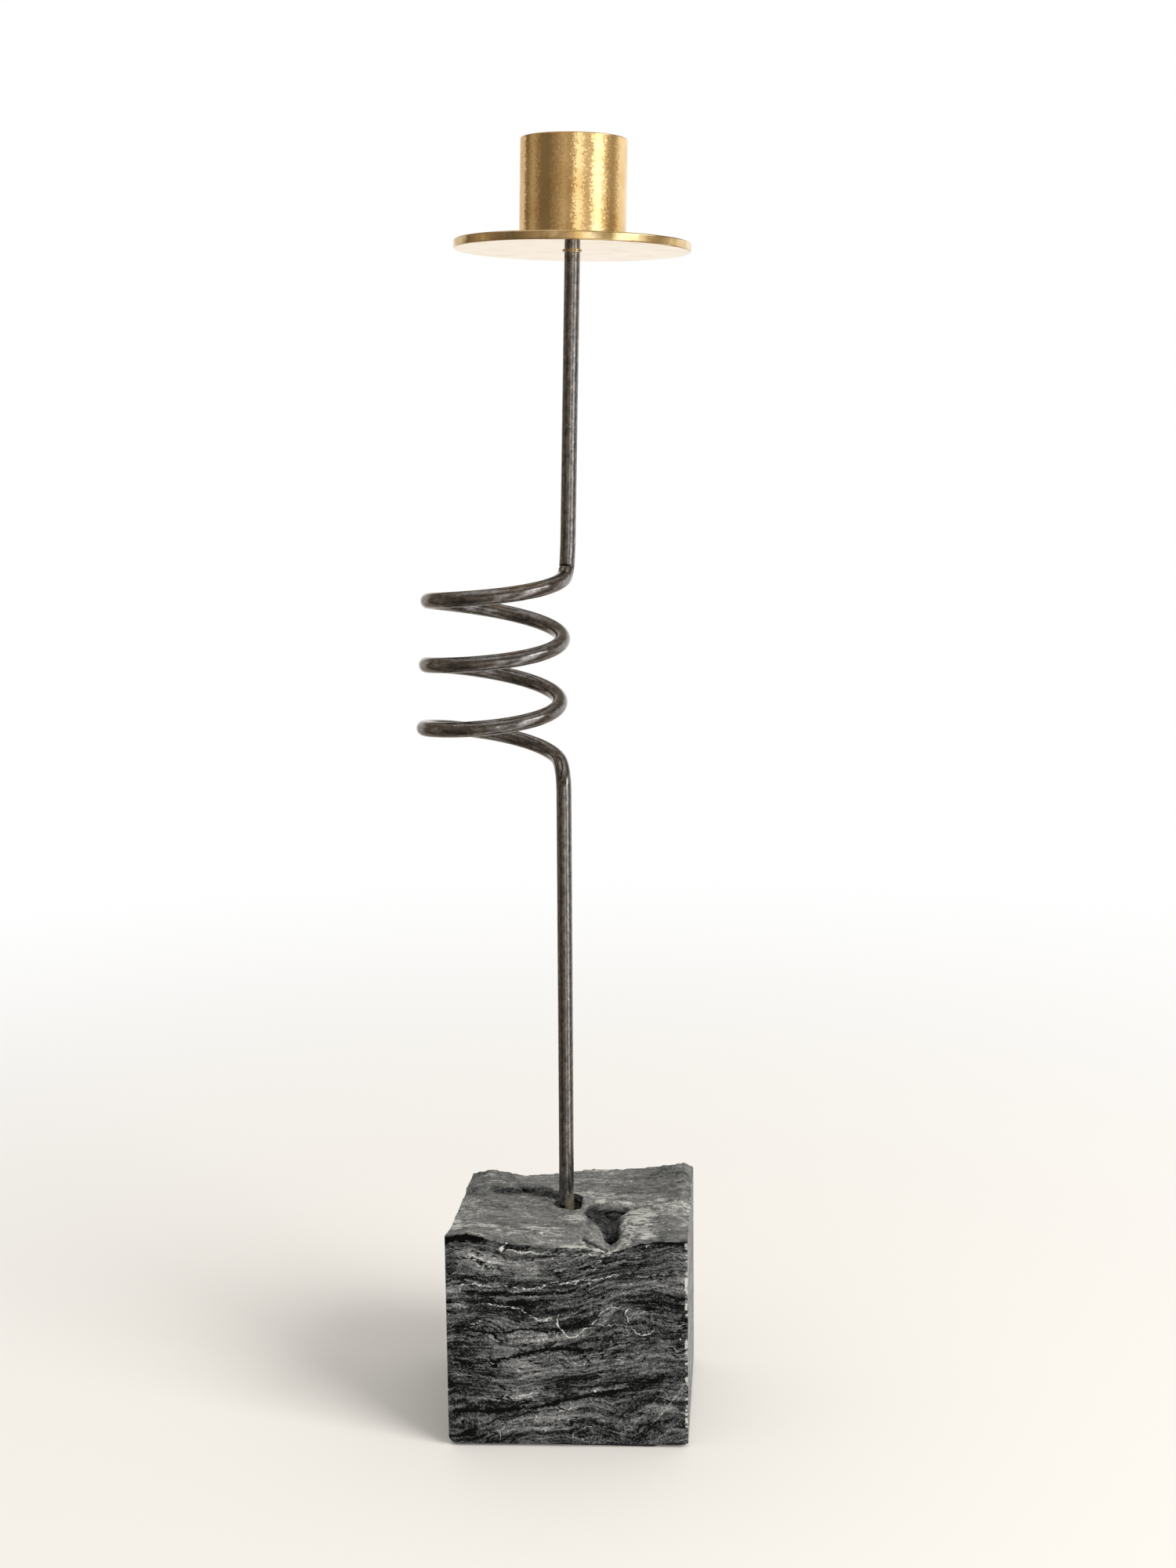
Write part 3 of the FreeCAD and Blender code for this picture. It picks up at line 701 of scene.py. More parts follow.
def sweep_rod(line):
    """One round bar along its line, its ends closed."""
    data = bpy.data.curves.new("bent_rod", "CURVE")
    data.dimensions = "3D"
    run = data.splines.new("POLY")
    run.points.add(len(line) - 1)
    for point, place in zip(run.points, line):
        point.co = (place * MM).to_4d()
    data.bevel_depth = ROD_RADIUS * MM
    data.bevel_resolution = ROD_SIDES // 2 - 2
    data.use_fill_caps = True
    rod = bpy.data.objects.new("bent_rod", data)
    bpy.context.collection.objects.link(rod)
    only(rod)
    bpy.ops.object.convert(target="MESH")
    rod = bpy.context.active_object
    bpy.ops.object.mode_set(mode="EDIT")
    bpy.ops.mesh.select_all(action="SELECT")
    bpy.ops.mesh.remove_doubles(threshold=MELTED)
    bpy.ops.mesh.normals_make_consistent(inside=False)
    bpy.ops.object.mode_set(mode="OBJECT")
    return rod


def line_frames(line):
    """For each point of a line, how far along it is, its direction, and a side that doesn't twist."""
    along, ways, sides = [0.0], [], []
    side = Vector((1, 0, 0))
    for number, place in enumerate(line):
        way = (line[min(number + 1, len(line) - 1)] - line[max(number - 1, 0)]).normalized()
        side = (side - way * side.dot(way)).normalized()
        ways.append(way)
        sides.append(side.copy())
        if number:
            along.append(along[-1] + (place - line[number - 1]).length)
    return along, ways, sides


def make_rod():
    """The bent bar. Each point keeps its place on the bar before it was bent, for the scale's pattern."""
    line = rod_line()
    rod = sweep_rod(line)
    along, ways, sides = line_frames(line)
    finder = kdtree.KDTree(len(line))
    for number, place in enumerate(line):
        finder.insert(place, number)
    finder.balance()
    crease = next(run for run, place in zip(along, line) if place.z > CREASE_HIGH)
    bar, resin, crease_shade = [], [], []
    for vertex in rod.data.vertices:
        place = vertex.co / MM
        near = finder.find(place)[1]
        out = place - line[near]
        across = out.dot(sides[near])
        over = out.dot(ways[near].cross(sides[near]))
        bar.append(Vector((across, over, along[near] + out.dot(ways[near]))) * MM)
        # The dent's share is also kept as painted shade for the crease
        dent = math.exp(-((along[near] - crease) / CREASE_WIDE) ** 2)
        dent *= soft_step(*CREASE_EDGE, out.normalized().dot(CREASE_WAY))
        crease_shade.append(dent)
        vertex.co -= out.normalized() * (dent * CREASE_DEEP * MM)
        ragged = noise.noise(place * SMEAR_STRETCH)
        turned = math.degrees(math.atan2(out.x, -out.y))
        smear = soft_step(*SMEAR_TOP, place.z - SMEAR_RAGGED * ragged) * soft_step(*SMEAR_RIGHT, turned)
        smear *= soft_step(SMEAR_LEFT_END + SMEAR_LEFT_RAGGED * ragged, SMEAR_LEFT_FULL, turned)
        resin.append(smear)
    keep(rod, "bar", bar)
    keep(rod, "resin", resin)
    keep(rod, "crease_shade", crease_shade)
    finish(rod, "bent_rod", make_steel(), "spiral_rod")


make_rod()


# Screw, felt and resin

ZINC = ("#c4c4bf", "#94948f")
ZINC_CLOUDS = 0.6 * MM
ZINC_DEEP = 0.01 * MM
FELT = ("#19191a", "#2b2b2c")
FELT_FIBRES = 0.35 * MM
FELT_DEEP = 0.10 * MM
# The resin's shades, painted dark for the shade down in the hole
RESIN_PAINTED_DARK = ("#16140e", "#332e20")
RESIN_RIPPLES = 1.3 * MM
RESIN_DEEP = 0.15 * MM
PLAIN_DETAIL = 3.0
PLAIN_SPOTS = {"From Min": 0.35, "From Max": 0.65}


def make_plain(name, shades, roughness, grain, depth, metallic=0.0):
    """A finish of two close shades in a fine grain."""
    coat, tree, shader = new_material(name)
    place = add(tree, "TexCoord").outputs["Object"]
    spots = add(tree, "TexNoise", {"Vector": place, "Scale": 1 / grain, "Detail": PLAIN_DETAIL})
    share = add(tree, "MapRange", {"Value": spots, **PLAIN_SPOTS})
    shade, other = shades
    tone = add(tree, "MixRGB", {0: share, 1: linear(shade), 2: linear(other)})
    bump = add(tree, "Bump", {"Height": spots, "Distance": depth, "Strength": 1.0})
    connect(tree, shader, {
        "Base Color": tone, "Metallic": metallic, "Roughness": roughness, "Normal": bump})
    return coat


# Zinc plating: pale, cool and slightly cloudy
ZINC_STEEL = make_plain(
    "zinc_plated_steel", ZINC, roughness=0.3, grain=ZINC_CLOUDS, depth=ZINC_DEEP, metallic=1.0)
# Wool felt dyed black: matt, with a nap of short fibres
WOOL_FELT = make_plain("black_wool_felt", FELT, roughness=0.95, grain=FELT_FIBRES, depth=FELT_DEEP)
# Epoxy resin, cured and yellowed, its colour painted dark for the shade down in the hole, with a wet shine
# on its ripples
CURED_RESIN = make_plain(
    "epoxy_resin_painted_dark", RESIN_PAINTED_DARK, roughness=0.35, grain=RESIN_RIPPLES, depth=RESIN_DEEP)

PAD_LOW, PAD_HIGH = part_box("base_pad")
PAD_CORNER = 2 * MM
PAD_FUZZ = 0.12 * MM
PAD_FUZZ_SIZE = 0.7 * MM
PAD_ROUNDING = 0.10 * MM
RESIN_LOW, RESIN_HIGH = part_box("rod_adhesive")
HOLE_SIDES = 64
RESIN_RINGS = (0.25, 0.35, 0.5, 0.5, 0.35, 0.25)
RESIN_SINK = 0.2 * MM
RESIN_SAG = 0.9 * MM
RESIN_WAVE = 0.15 * MM
RESIN_WAVE_SIZE = 1.5 * MM
SOFT_CRISP = 60


def make_pad():
    """Pad cut from felt: corners rounded, and the cut edge a little fuzzy."""
    span = PAD_HIGH - PAD_LOW
    middle = (PAD_LOW + PAD_HIGH) / 2
    pad = start("cube", size=1, location=middle, scale=span)
    bpy.ops.object.mode_set(mode="EDIT")
    select(pad, "EDGE", lambda edge: abs(edge.verts[0].co.z - edge.verts[1].co.z) > span.z / 2)
    bpy.ops.mesh.bevel(offset=PAD_CORNER, segments=8, affect="EDGES")
    select(pad, "FACE", lambda face: abs(face.normal.z) > FACING)
    bpy.ops.mesh.inset(thickness=PAD_FUZZ)
    bpy.ops.mesh.select_all(action="SELECT")
    bpy.ops.mesh.subdivide(number_cuts=2, quadcorner="INNERVERT")
    select(pad, "FACE", lambda face: abs(face.normal.z) < FACING)
    bpy.ops.mesh.subdivide(number_cuts=12)
    bpy.ops.object.mode_set(mode="OBJECT")
    for vertex in pad.data.vertices:
        out = Vector((vertex.co.x - middle.x, vertex.co.y - middle.y, 0))
        fuzz = 0.5 + 0.5 * noise.noise(vertex.co / PAD_FUZZ_SIZE)
        height = (vertex.co.z - PAD_LOW.z) / span.z
        vertex.co -= out.normalized() * (PAD_FUZZ * fuzz + PAD_ROUNDING * (2 * height - 1) ** 2)
    finish(pad, "felt_pad", WOOL_FELT, "base_pad", SOFT_CRISP)


def make_resin():
    """Resin round the rod in its hole. Its surface has crept up the rod and the wall."""
    middle = (RESIN_LOW + RESIN_HIGH) / 2
    span = RESIN_HIGH - RESIN_LOW
    fill = start("cylinder", vertices=HOLE_SIDES, radius=span.x / 2, depth=span.z, location=middle)
    bpy.ops.object.mode_set(mode="EDIT")
    select(fill, "FACE", lambda face: face.normal.z > FACING)
    for thick in RESIN_RINGS:
        bpy.ops.mesh.inset(thickness=thick * MM)
    bpy.ops.object.mode_set(mode="OBJECT")
    for vertex in fill.data.vertices:
        if vertex.co.z > middle.z:
            away = (vertex.co.xy - middle.xy).length / (span.x / 2)
            sag = (1 - (2 * away - 1) ** 2) * soft_step(0, 0.5, away)
            wave = noise.noise(vertex.co / RESIN_WAVE_SIZE)
            vertex.co.z -= RESIN_SAG * sag + RESIN_SINK + RESIN_WAVE * wave
    finish(fill, "resin_fill", CURED_RESIN, "rod_adhesive", SOFT_CRISP)


make_pad()
make_resin()
screw = frame["nodes"]["cup_screw"]
screw.data.materials.clear()
screw.data.materials.append(ZINC_STEEL)


# Marble of the stone

# Layered grey marble, sawn at the sides and split on top: thin streaks, white veins and black seams, darker
# and a little smoother where it is sawn. The split top's lightness is partly its paler broken face and
# partly painted light from above; painted shade lies in its hollows and under its edges, and a painted sheen
# on its right face. Layers, flaws, veins and specks add up to one level, and these are the shades of that
# level.
STONE_SHADES = (
    (0.34, "#010101"), (0.42, "#1b1c1d"), (0.49, "#323334"), (0.583, "#4a4b4c"), (0.677, "#626363"),
    (0.78, "#797a79"), (0.88, "#8e8e8d"), (1.0, "#c4c4c0"),
)
STONE_WARM = "#8f8d83"
STONE_WARM_SHARE = 0.35
STONE_ROUGHNESS = {"To Min": 0.30, "To Max": 0.75}
STONE_GLOSS = 0.08
STONE_BUMP = {"Distance": 0.45 * MM, "Strength": 0.7}

# How the layers sway, slowly and quickly: the noise, and how far it moves them
SWAYS = (
    ({"Scale": 1 / (24 * MM), "Detail": 2.0}, Vector((3, 3, 13)) * MM),
    ({"Scale": 1 / (1.8 * MM), "Detail": 3.0, "Roughness": 0.7}, Vector((0.7, 0.7, 0.7)) * MM),
)
LAYERS_TURN = radians(-12, 6, 0)

# Streaks in the layers: length and thickness in millimetres, detail, roughness and weight
LAYERS = (
    (34, 6.5, 2.0, 0.5, 0.50), (17, 1.3, 3.0, 0.55, 0.80), (3.4, 0.70, 3.0, 0.60, 0.62),
    (0.50, 0.40, 2.0, 0.6, 0.80), (9, 5, 3.0, 0.55, 0.36),
)
# The split top is lighter than the sawn sides: partly its paler broken face, partly painted light from above
BASE_LEVEL_AND_TOP_LIGHT = {"To Min": 0.546, "To Max": 0.79}
LAYERS_WEIGHT = {"To Min": 1.0, "To Max": 0.58}
SPLIT_GRAIN_SIZE = (5.5, 1.1, 0.9)
SPLIT_GRAIN = {"Scale": 1.0, "Detail": 4.0, "Roughness": 0.65}
SPLIT_GRAIN_SHARE = 0.62
PALE_GRAIN = {"From Min": 0.40, "From Max": 0.62, "To Max": 0.55}
# Faces that look to the right are paler: a painted sheen where the window grazes them
RIGHT_FACE_PAINTED_SHEEN = {"From Min": 0.6, "From Max": 0.9, "To Max": 0.13}
# How far the painted shade of recesses and edges darkens the level
PAINTED_SHADE_SHARE = -0.45
SAWN = {"To Min": 1.0, "To Max": 0.25}

# Fine flaws: length and thickness of their bends in millimetres, turn in degrees, width, the patches that
# have them, and how much they darken or lighten
FLAWS = ((15, 3.6, 8, 0.016, 0.50, -0.55), (11, 5.0, -20, 0.007, 0.56, 0.45))
FLAWS_TURN = -10
FLAWS_SHIFT = (7, 3)
FLAW_PATCHES = {"Scale": 1 / (5 * MM), "Detail": 2.0}
FLAW_PATCH_SOFT = 0.06
FLAW_BENDS = {"Scale": 1.0, "Detail": 3.0, "Roughness": 0.55}
FLAW_CORE_SHARE = 0.2
DASH_SIZE = (1.9, 1.9, 0.5)
DASHES = {"From Min": 0.56, "From Max": 0.66, "To Max": -0.10}
DASH_SHIFT = (3, 5, 1)
DASH_DETAIL = 2.0
SPECKS_APART = 3.2 * MM
SPECK_SIZES = {"From Min": 0.80, "From Max": 1.0, "To Max": 0.13}
SPECK_EDGE = 0.03
SPECK_SHARE = 0.6

# Veins on the front, measured across and up the face: thickness, share of white or black, points
LIGHT_VEINS = (
    (0.24, 0.65, ((-25.8, 44.5), (-15.2, 44.2), (-6.1, 43.6), (-2.0, 44.9), (10.1, 46.4), (16.6, 47.8))),
    (0.22, 0.50, ((19.4, 46.5), (24.0, 47.0), (29.3, 47.8))),
    (0.26, 0.80, ((-18.4, 39.2), (-10.0, 38.2), (-4.6, 35.2), (-0.7, 35.0))),
    (0.24, 0.80, ((1.3, 32.3), (3.7, 30.3), (7.2, 32.9), (9.4, 34.3), (12.7, 38.3), (16.6, 38.8))),
    (0.20, 0.55, ((9.8, 34.3), (14.0, 33.6), (18.1, 33.2))),
    (0.24, 0.80, ((18.7, 33.7), (22.2, 31.3), (25.4, 33.1))),
    (0.30, 0.40, ((20.8, 2.7), (27.0, 9.5), (33.1, 17.8))),
    (0.22, 0.35, ((15.0, 3.0), (21.0, 8.0), (28.0, 17.0))),
    (0.22, 0.35, ((24.0, 1.5), (30.0, 6.0), (33.5, 10.0))),
    (2.4, 0.27, ((-18.1, 30.0), (-6.0, 30.4), (3.0, 30.4), (8.0, 33.0), (15.5, 38.8))),
    (3.0, 0.20, ((-22.0, 5.5), (-8.0, 6.0), (6.0, 7.5))),
    (0.9, 0.30, ((-24.6, 12.8), (-10.0, 13.9), (5.0, 15.2), (18.7, 17.4))),
    (2.2, 0.16, ((-12.0, 20.0), (2.0, 21.0), (14.0, 22.0))),
    (0.35, 0.45, ((-14.0, 54.4), (-7.5, 53.4), (3.5, 52.9), (15.0, 53.0))),
    (0.9, 1.80, ((-15.0, 54.4), (-13.4, 54.6))),
    (3.6, 0.20, ((-26.5, 51.5), (-16.0, 50.5), (-4.0, 48.5))),
)
UPRIGHT_VEINS = (
    (0.25, 0.85, ((30.3, 3.0), (32.3, 1.3), (34.6, 0.1), (37.0, 0.9))),
    (0.25, 0.85, ((33.7, 18.7), (36.4, 18.0), (38.8, 18.8))),
)
BLACK_SEAMS = (
    (1.2, 0.24, ((-26.0, 23.0), (-14.3, 24.2), (-8.6, 25.7), (-1.4, 27.1), (7.1, 26.5), (14.0, 27.5))),
    (0.44, 0.90, ((-20.0, 23.6), (-14.3, 24.2), (-8.6, 25.7), (-1.4, 27.1), (7.1, 26.5))),
    (1.2, 0.24, ((-27.9, 10.2), (-16.0, 10.2), (-7.2, 11.0), (4.1, 13.5), (18.0, 16.0), (30.0, 21.0))),
    (0.48, 0.90, ((-27.9, 10.2), (-16.0, 10.2), (-7.2, 11.0), (4.1, 13.5), (18.0, 16.0))),
    (3.4, 0.14, ((-24.0, 40.0), (-10.0, 38.5), (2.0, 36.5), (12.0, 36.0))),
    (2.4, 0.20, ((-27.0, 33.0), (-22.0, 32.0), (-18.0, 33.0))),
    (0.4, 0.75, ((-25.0, 42.6), (-12.0, 42.3), (-4.0, 42.0), (6.0, 44.0))),
    (0.4, 0.70, ((-24.0, 33.5), (-15.0, 31.5), (-8.0, 32.5), (-2.0, 31.0))),
    (1.2, 0.14, ((2.0, 4.0), (10.0, 6.0), (20.0, 11.0), (32.0, 19.0))),
)
VEIN_WEIGHT = 0.7
VEIN_MARGIN = 1
VEIN_CORE_SHARE = 0.3
VEIN_MELT = 1.2
VEIN_END = 0.499
VEIN_WOBBLES = (
    ({"Scale": 1 / (4.5 * MM), "Detail": 4.0, "Roughness": 0.6}, 2.6 * MM),
    ({"Scale": 1 / (0.8 * MM), "Detail": 2.0}, 1.5 * MM),
)
VEIN_GAPS = {"Scale": 1 / (1.1 * MM), "Detail": 2.0}
VEIN_BROKEN = {"From Min": 0.30, "From Max": 0.50}
FRONT_ONLY = {"From Min": -18 * MM, "From Max": -24 * MM}


def add_layers(tree, layers):
    """Sum of the streaks in the layers, around 0."""
    level = 0.0
    for along, across, detail, rough, weight in LAYERS:
        squeezed = add(tree, "Mapping", {
            "Vector": layers, "Scale": per_mm(along, along, across), "Location": (along, across, weight)})
        streak = add(tree, "TexNoise", {
            "Vector": squeezed, "Scale": 1.0, "Detail": detail, "Roughness": rough})
        streak = add(tree, "Math", {0: streak, 1: 0.5}, operation="SUBTRACT")
        level = add(tree, "Math", {0: streak, 1: weight, 2: level}, operation="MULTIPLY_ADD")
    return level


def add_split_top(tree, level, bent, split):
    """Adds the coarse grain of the split top, its pale places, its painted shade, and a painted sheen on the
    faces that look to the right.
    """
    pale = add(tree, "Attribute", attribute_name="pale").outputs["Fac"]
    painted_shade = add(tree, "Attribute", attribute_name="painted_shade").outputs["Fac"]
    squeezed = add(tree, "Mapping", {"Vector": bent, "Scale": per_mm(*SPLIT_GRAIN_SIZE)})
    grain = add(tree, "TexNoise", {"Vector": squeezed, **SPLIT_GRAIN})
    streaks = add(tree, "Math", {0: grain, 1: 0.5}, operation="SUBTRACT")
    streaks = add(tree, "Math", {0: streaks, 1: split}, operation="MULTIPLY")
    level = add(tree, "Math", {0: streaks, 1: SPLIT_GRAIN_SHARE, 2: level}, operation="MULTIPLY_ADD")
    pale_grain = add(tree, "MapRange", {"Value": grain, **PALE_GRAIN})
    facing = add(tree, "SeparateXYZ", {0: add(tree, "NewGeometry").outputs["Normal"]})
    # Painted sheen on the faces that look to the right
    painted_sheen = add(tree, "MapRange", {"Value": facing.outputs["X"], **RIGHT_FACE_PAINTED_SHEEN})
    pale = add(tree, "Math", {0: pale, 1: pale_grain, 2: painted_sheen}, operation="MULTIPLY_ADD")
    level = add(tree, "Math", {0: level, 1: pale}, operation="ADD")
    return add(tree, "Math", {0: painted_shade, 1: PAINTED_SHADE_SHARE, 2: level}, operation="MULTIPLY_ADD")


def add_flaws(tree, level, bent, layers, sawn):
    """Adds thin broken lines, dark ones and light ones, fainter on the split top."""
    patches = add(tree, "TexNoise", {"Vector": layers, **FLAW_PATCHES})
    for along, across, turn, width, limit, share in FLAWS:
        squeezed = add(tree, "Mapping", {
            "Vector": bent, "Rotation": radians(FLAWS_TURN, turn, 0), "Scale": per_mm(along, along, across),
            "Location": (share, *FLAWS_SHIFT)})
        field = add(tree, "TexNoise", {"Vector": squeezed, **FLAW_BENDS})
        off = add(tree, "Math", {0: field, 1: 0.5}, operation="SUBTRACT")
        off = add(tree, "Math", {0: off}, operation="ABSOLUTE")
        line = add(tree, "MapRange", {"Value": off, "From Min": width, "From Max": width * FLAW_CORE_SHARE})
        here = add(tree, "MapRange", {
            "Value": patches, "From Min": limit - FLAW_PATCH_SOFT, "From Max": limit + FLAW_PATCH_SOFT})
        line = add(tree, "Math", {0: line, 1: here}, operation="MULTIPLY")
        line = add(tree, "Math", {0: line, 1: sawn}, operation="MULTIPLY")
        level = add(tree, "Math", {0: line, 1: share, 2: level}, operation="MULTIPLY_ADD")
    return level


def add_vein(tree, parts, along, over, points, wobble, thick):
    """Share of a vein at a point: 1 on its line and 0 off it. The line is a curve over two axes."""
    places = [place for place, height in points]
    heights = [height for place, height in points]
    length = places[-1] - places[0]
    low, high = min(heights) - VEIN_MARGIN, max(heights) + VEIN_MARGIN
    share = add(tree, "MapRange", {
        "Value": parts.outputs[along], "From Min": places[0] * MM, "From Max": places[-1] * MM})
    curve = add(tree, "FloatCurve", {"Value": share})
    bends = curve.mapping.curves[0].points
    marks = [((place - places[0]) / length, (height - low) / (high - low)) for place, height in points]
    bends[0].location, bends[1].location = marks[0], marks[-1]
    for mark in marks[1:-1]:
        bends.new(*mark)
    curve.mapping.update()
    line = add(tree, "MapRange", {"Value": curve, "To Min": low * MM, "To Max": high * MM})
    line = add(tree, "Math", {0: line, 1: wobble}, operation="ADD")
    off = add(tree, "Math", {0: parts.outputs[over], 1: line}, operation="SUBTRACT")
    off = add(tree, "Math", {0: off}, operation="ABSOLUTE")
    near = add(tree, "MapRange", {
        "Value": off, "From Min": thick * MM, "From Max": thick * MM * VEIN_CORE_SHARE,
    }, interpolation_type="SMOOTHSTEP")
    inside = add(tree, "Math", {0: share, 1: 0.5}, operation="SUBTRACT")
    inside = add(tree, "Math", {0: inside}, operation="ABSOLUTE")
    inside = add(tree, "MapRange", {
        "Value": inside, "From Min": VEIN_END, "From Max": VEIN_END - VEIN_MELT / length})
    return add(tree, "Math", {0: near, 1: inside}, operation="MULTIPLY")


def add_veins(tree, level, place):
    """Adds the veins and seams that stand out on the front, wavering and broken here and there."""
    parts = add(tree, "SeparateXYZ", {0: place})
    wobble = 0.0
    for grain, reach in VEIN_WOBBLES:
        swing = add(tree, "TexNoise", {"Vector": place, **grain})
        swing = add(tree, "Math", {0: swing, 1: 0.5}, operation="SUBTRACT")
        wobble = add(tree, "Math", {0: swing, 1: reach, 2: wobble}, operation="MULTIPLY_ADD")
    gaps = add(tree, "TexNoise", {"Vector": place, **VEIN_GAPS})
    broken = add(tree, "MapRange", {"Value": gaps, **VEIN_BROKEN})
    fore = add(tree, "MapRange", {"Value": parts.outputs["Y"], **FRONT_ONLY})
    for veins, along, over, sign in (
        (LIGHT_VEINS, "X", "Z", 1), (UPRIGHT_VEINS, "Z", "X", 1), (BLACK_SEAMS, "X", "Z", -1),
    ):
        for thick, share, points in veins:
            vein = add_vein(tree, parts, along, over, points, wobble, thick)
            vein = add(tree, "Math", {0: vein, 1: broken}, operation="MULTIPLY")
            vein = add(tree, "Math", {0: vein, 1: fore}, operation="MULTIPLY")
            change = sign * share * VEIN_WEIGHT
            level = add(tree, "Math", {0: vein, 1: change, 2: level}, operation="MULTIPLY_ADD")
    return level


def add_dashes(tree, level, layers, sawn):
    """Adds short dark dashes along the layers, fainter on the split top."""
    squeezed = add(tree, "Mapping", {"Vector": layers, "Scale": per_mm(*DASH_SIZE), "Location": DASH_SHIFT})
    dashes = add(tree, "TexNoise", {"Vector": squeezed, "Scale": 1.0, "Detail": DASH_DETAIL})
    dashes = add(tree, "MapRange", {"Value": dashes, **DASHES})
    return add(tree, "Math", {0: dashes, 1: sawn, 2: level}, operation="MULTIPLY_ADD")


def add_specks(tree, level, place):
    """Adds a few round white specks of differing size."""
    specks = add(tree, "TexVoronoi", {"Vector": place, "Scale": 1 / SPECKS_APART})
    chosen = add(tree, "SeparateColor", {0: specks.outputs["Color"]})
    spot = add(tree, "MapRange", {"Value": chosen, **SPECK_SIZES})
    spot = add(tree, "Math", {0: spot, 1: specks.outputs["Distance"]}, operation="SUBTRACT")
    spot = add(tree, "MapRange", {"Value": spot, "From Max": SPECK_EDGE})
    return add(tree, "Math", {0: spot, 1: SPECK_SHARE, 2: level}, operation="MULTIPLY_ADD")


def make_marble():
    coat, tree, shader = new_material("layered_grey_marble")
    place = add(tree, "TexCoord").outputs["Object"]
    bent = place
    for grain, reach in SWAYS:
        sway = add(tree, "TexNoise", {"Vector": place, **grain}).outputs["Color"]
        sway = add(tree, "VectorMath", {0: sway, 1: (0.5, 0.5, 0.5)}, operation="SUBTRACT")
        sway = add(tree, "VectorMath", {0: sway, 1: reach}, operation="MULTIPLY")
        bent = add(tree, "VectorMath", {0: bent, 1: sway}, operation="ADD")
    layers = add(tree, "Mapping", {"Vector": bent, "Rotation": LAYERS_TURN})
    split = add(tree, "Attribute", attribute_name="split").outputs["Fac"]
    sawn = add(tree, "MapRange", {"Value": split, **SAWN})
    # Base level: the top's is raised, partly for its paler split face and partly as painted light from above
    base = add(tree, "MapRange", {"Value": split, **BASE_LEVEL_AND_TOP_LIGHT})
    weight = add(tree, "MapRange", {"Value": split, **LAYERS_WEIGHT})
    level = add_layers(tree, layers)
    level = add(tree, "Math", {0: level, 1: weight, 2: base}, operation="MULTIPLY_ADD")
    level = add_split_top(tree, level, bent, split)
    level = add_flaws(tree, level, bent, layers, sawn)
    level = add_veins(tree, level, place)
    level = add_dashes(tree, level, layers, sawn)
    level = add_specks(tree, level, place)
    stops = [(at, linear(shade)) for at, shade in STONE_SHADES]
    tone = set_stops(add(tree, "ValToRGB", {0: level}), stops)
    warm = add(tree, "Math", {0: split, 1: STONE_WARM_SHARE}, operation="MULTIPLY")
    tone = add(tree, "MixRGB", {0: warm, 1: tone, 2: linear(STONE_WARM)}, blend_type="SOFT_LIGHT")
    dull = add(tree, "MapRange", {"Value": split, **STONE_ROUGHNESS})
    bump = add(tree, "Bump", {"Height": level, **STONE_BUMP})
    connect(tree, shader, {
        "Base Color": tone, "Roughness": dull, "Specular IOR Level": STONE_GLOSS, "Normal": bump})
    return coat


# Shape of the stone, in millimetres

BLOCK_LOW, BLOCK_HIGH = (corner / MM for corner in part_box("stone_base"))
BLOCK_SPAN = BLOCK_HIGH - BLOCK_LOW
BLOCK_CUTS = 80
BLOCK_SKEW = 2.4
HOLE_RADIUS = 4.0
HOLE_AT = Vector((0.8, 1.0))
HOLE_CLEAR = 0.4
DRILL_LONG = 20
DRILL_RISE = 4
INSET = 0.03

# Lines on the split top, measured across and back. The solid's ledge and the right wall of its hollow are
# drawn over to these lines, and made steeper. Two values of an edge are where it is 0 and 1, and four
# values of a patch are where it starts, is full, ebbs and ends.
SOLID_LEDGE = ((-28.8, 12.4), (33.8, -9.3))
LEDGE = ((-30, 12.2), (-26.5, 11.5), (-18.7, 9.6), (-10.6, 8.3), (-5, 7.3), (-2.5, 5.0), (2, 1.2),
         (5.4, -1.2), (9, -1.6), (18.4, -1.5), (24, -4.5), (34, -9))
LEDGE_PULL = (9, 1.15)
LEDGE_WAVE = 0.7
LEDGE_FOOT = (0.3, -1.0)
LEDGE_STEP = (-0.2, 0.3)
LEDGE_STEP_HIGH = 0.9
LEDGE_STEP_WIDE = 4
SOLID_WALL = 17.5
WALL = ((-30, 15.0), (-21, 15.9), (-15, 15.2), (-8, 15.1), (-3.6, 16.9), (1.2, 18.4), (9, 19.0))
WALL_PULL = (6, 1.8)
WALL_WAVE = 0.8
PULL_SOFT = 0.5
WAVE_SIZE = 5
MIDDLE = (0, 0.12, 0.9, 1)
SLIT = ((6.7, -22.6), (10.1, -24.6), (12.6, -26.2))
SLIT_EDGE = (0.75, 0.35)
SLIT_DEEP = 1.7
SLIT_END = 0.4
CAVE = Vector((14.0, -18.6))
CAVE_FLAT = 0.8
CAVE_SIZE = 2.4
CAVE_EDGE = (1.15, 0.65)
CAVE_DEEP = 2.1

# The layers that the top is broken into
FLOW_HIGH = 0.30
FLOW_SIZE = (11, 7)
RIPPLE_SIZE = (3.2, 2.0, 1.2)
RIPPLE_HIGH = 0.09
RIPPLE_SHIFT = 0.35
LAYER_THICK = 0.55
LAYER_RISER = (0.30, 0.70)
LAYER_SHARP = 0.8
GRIT_HIGH = 0.05
GRIT_SIZE = 0.625

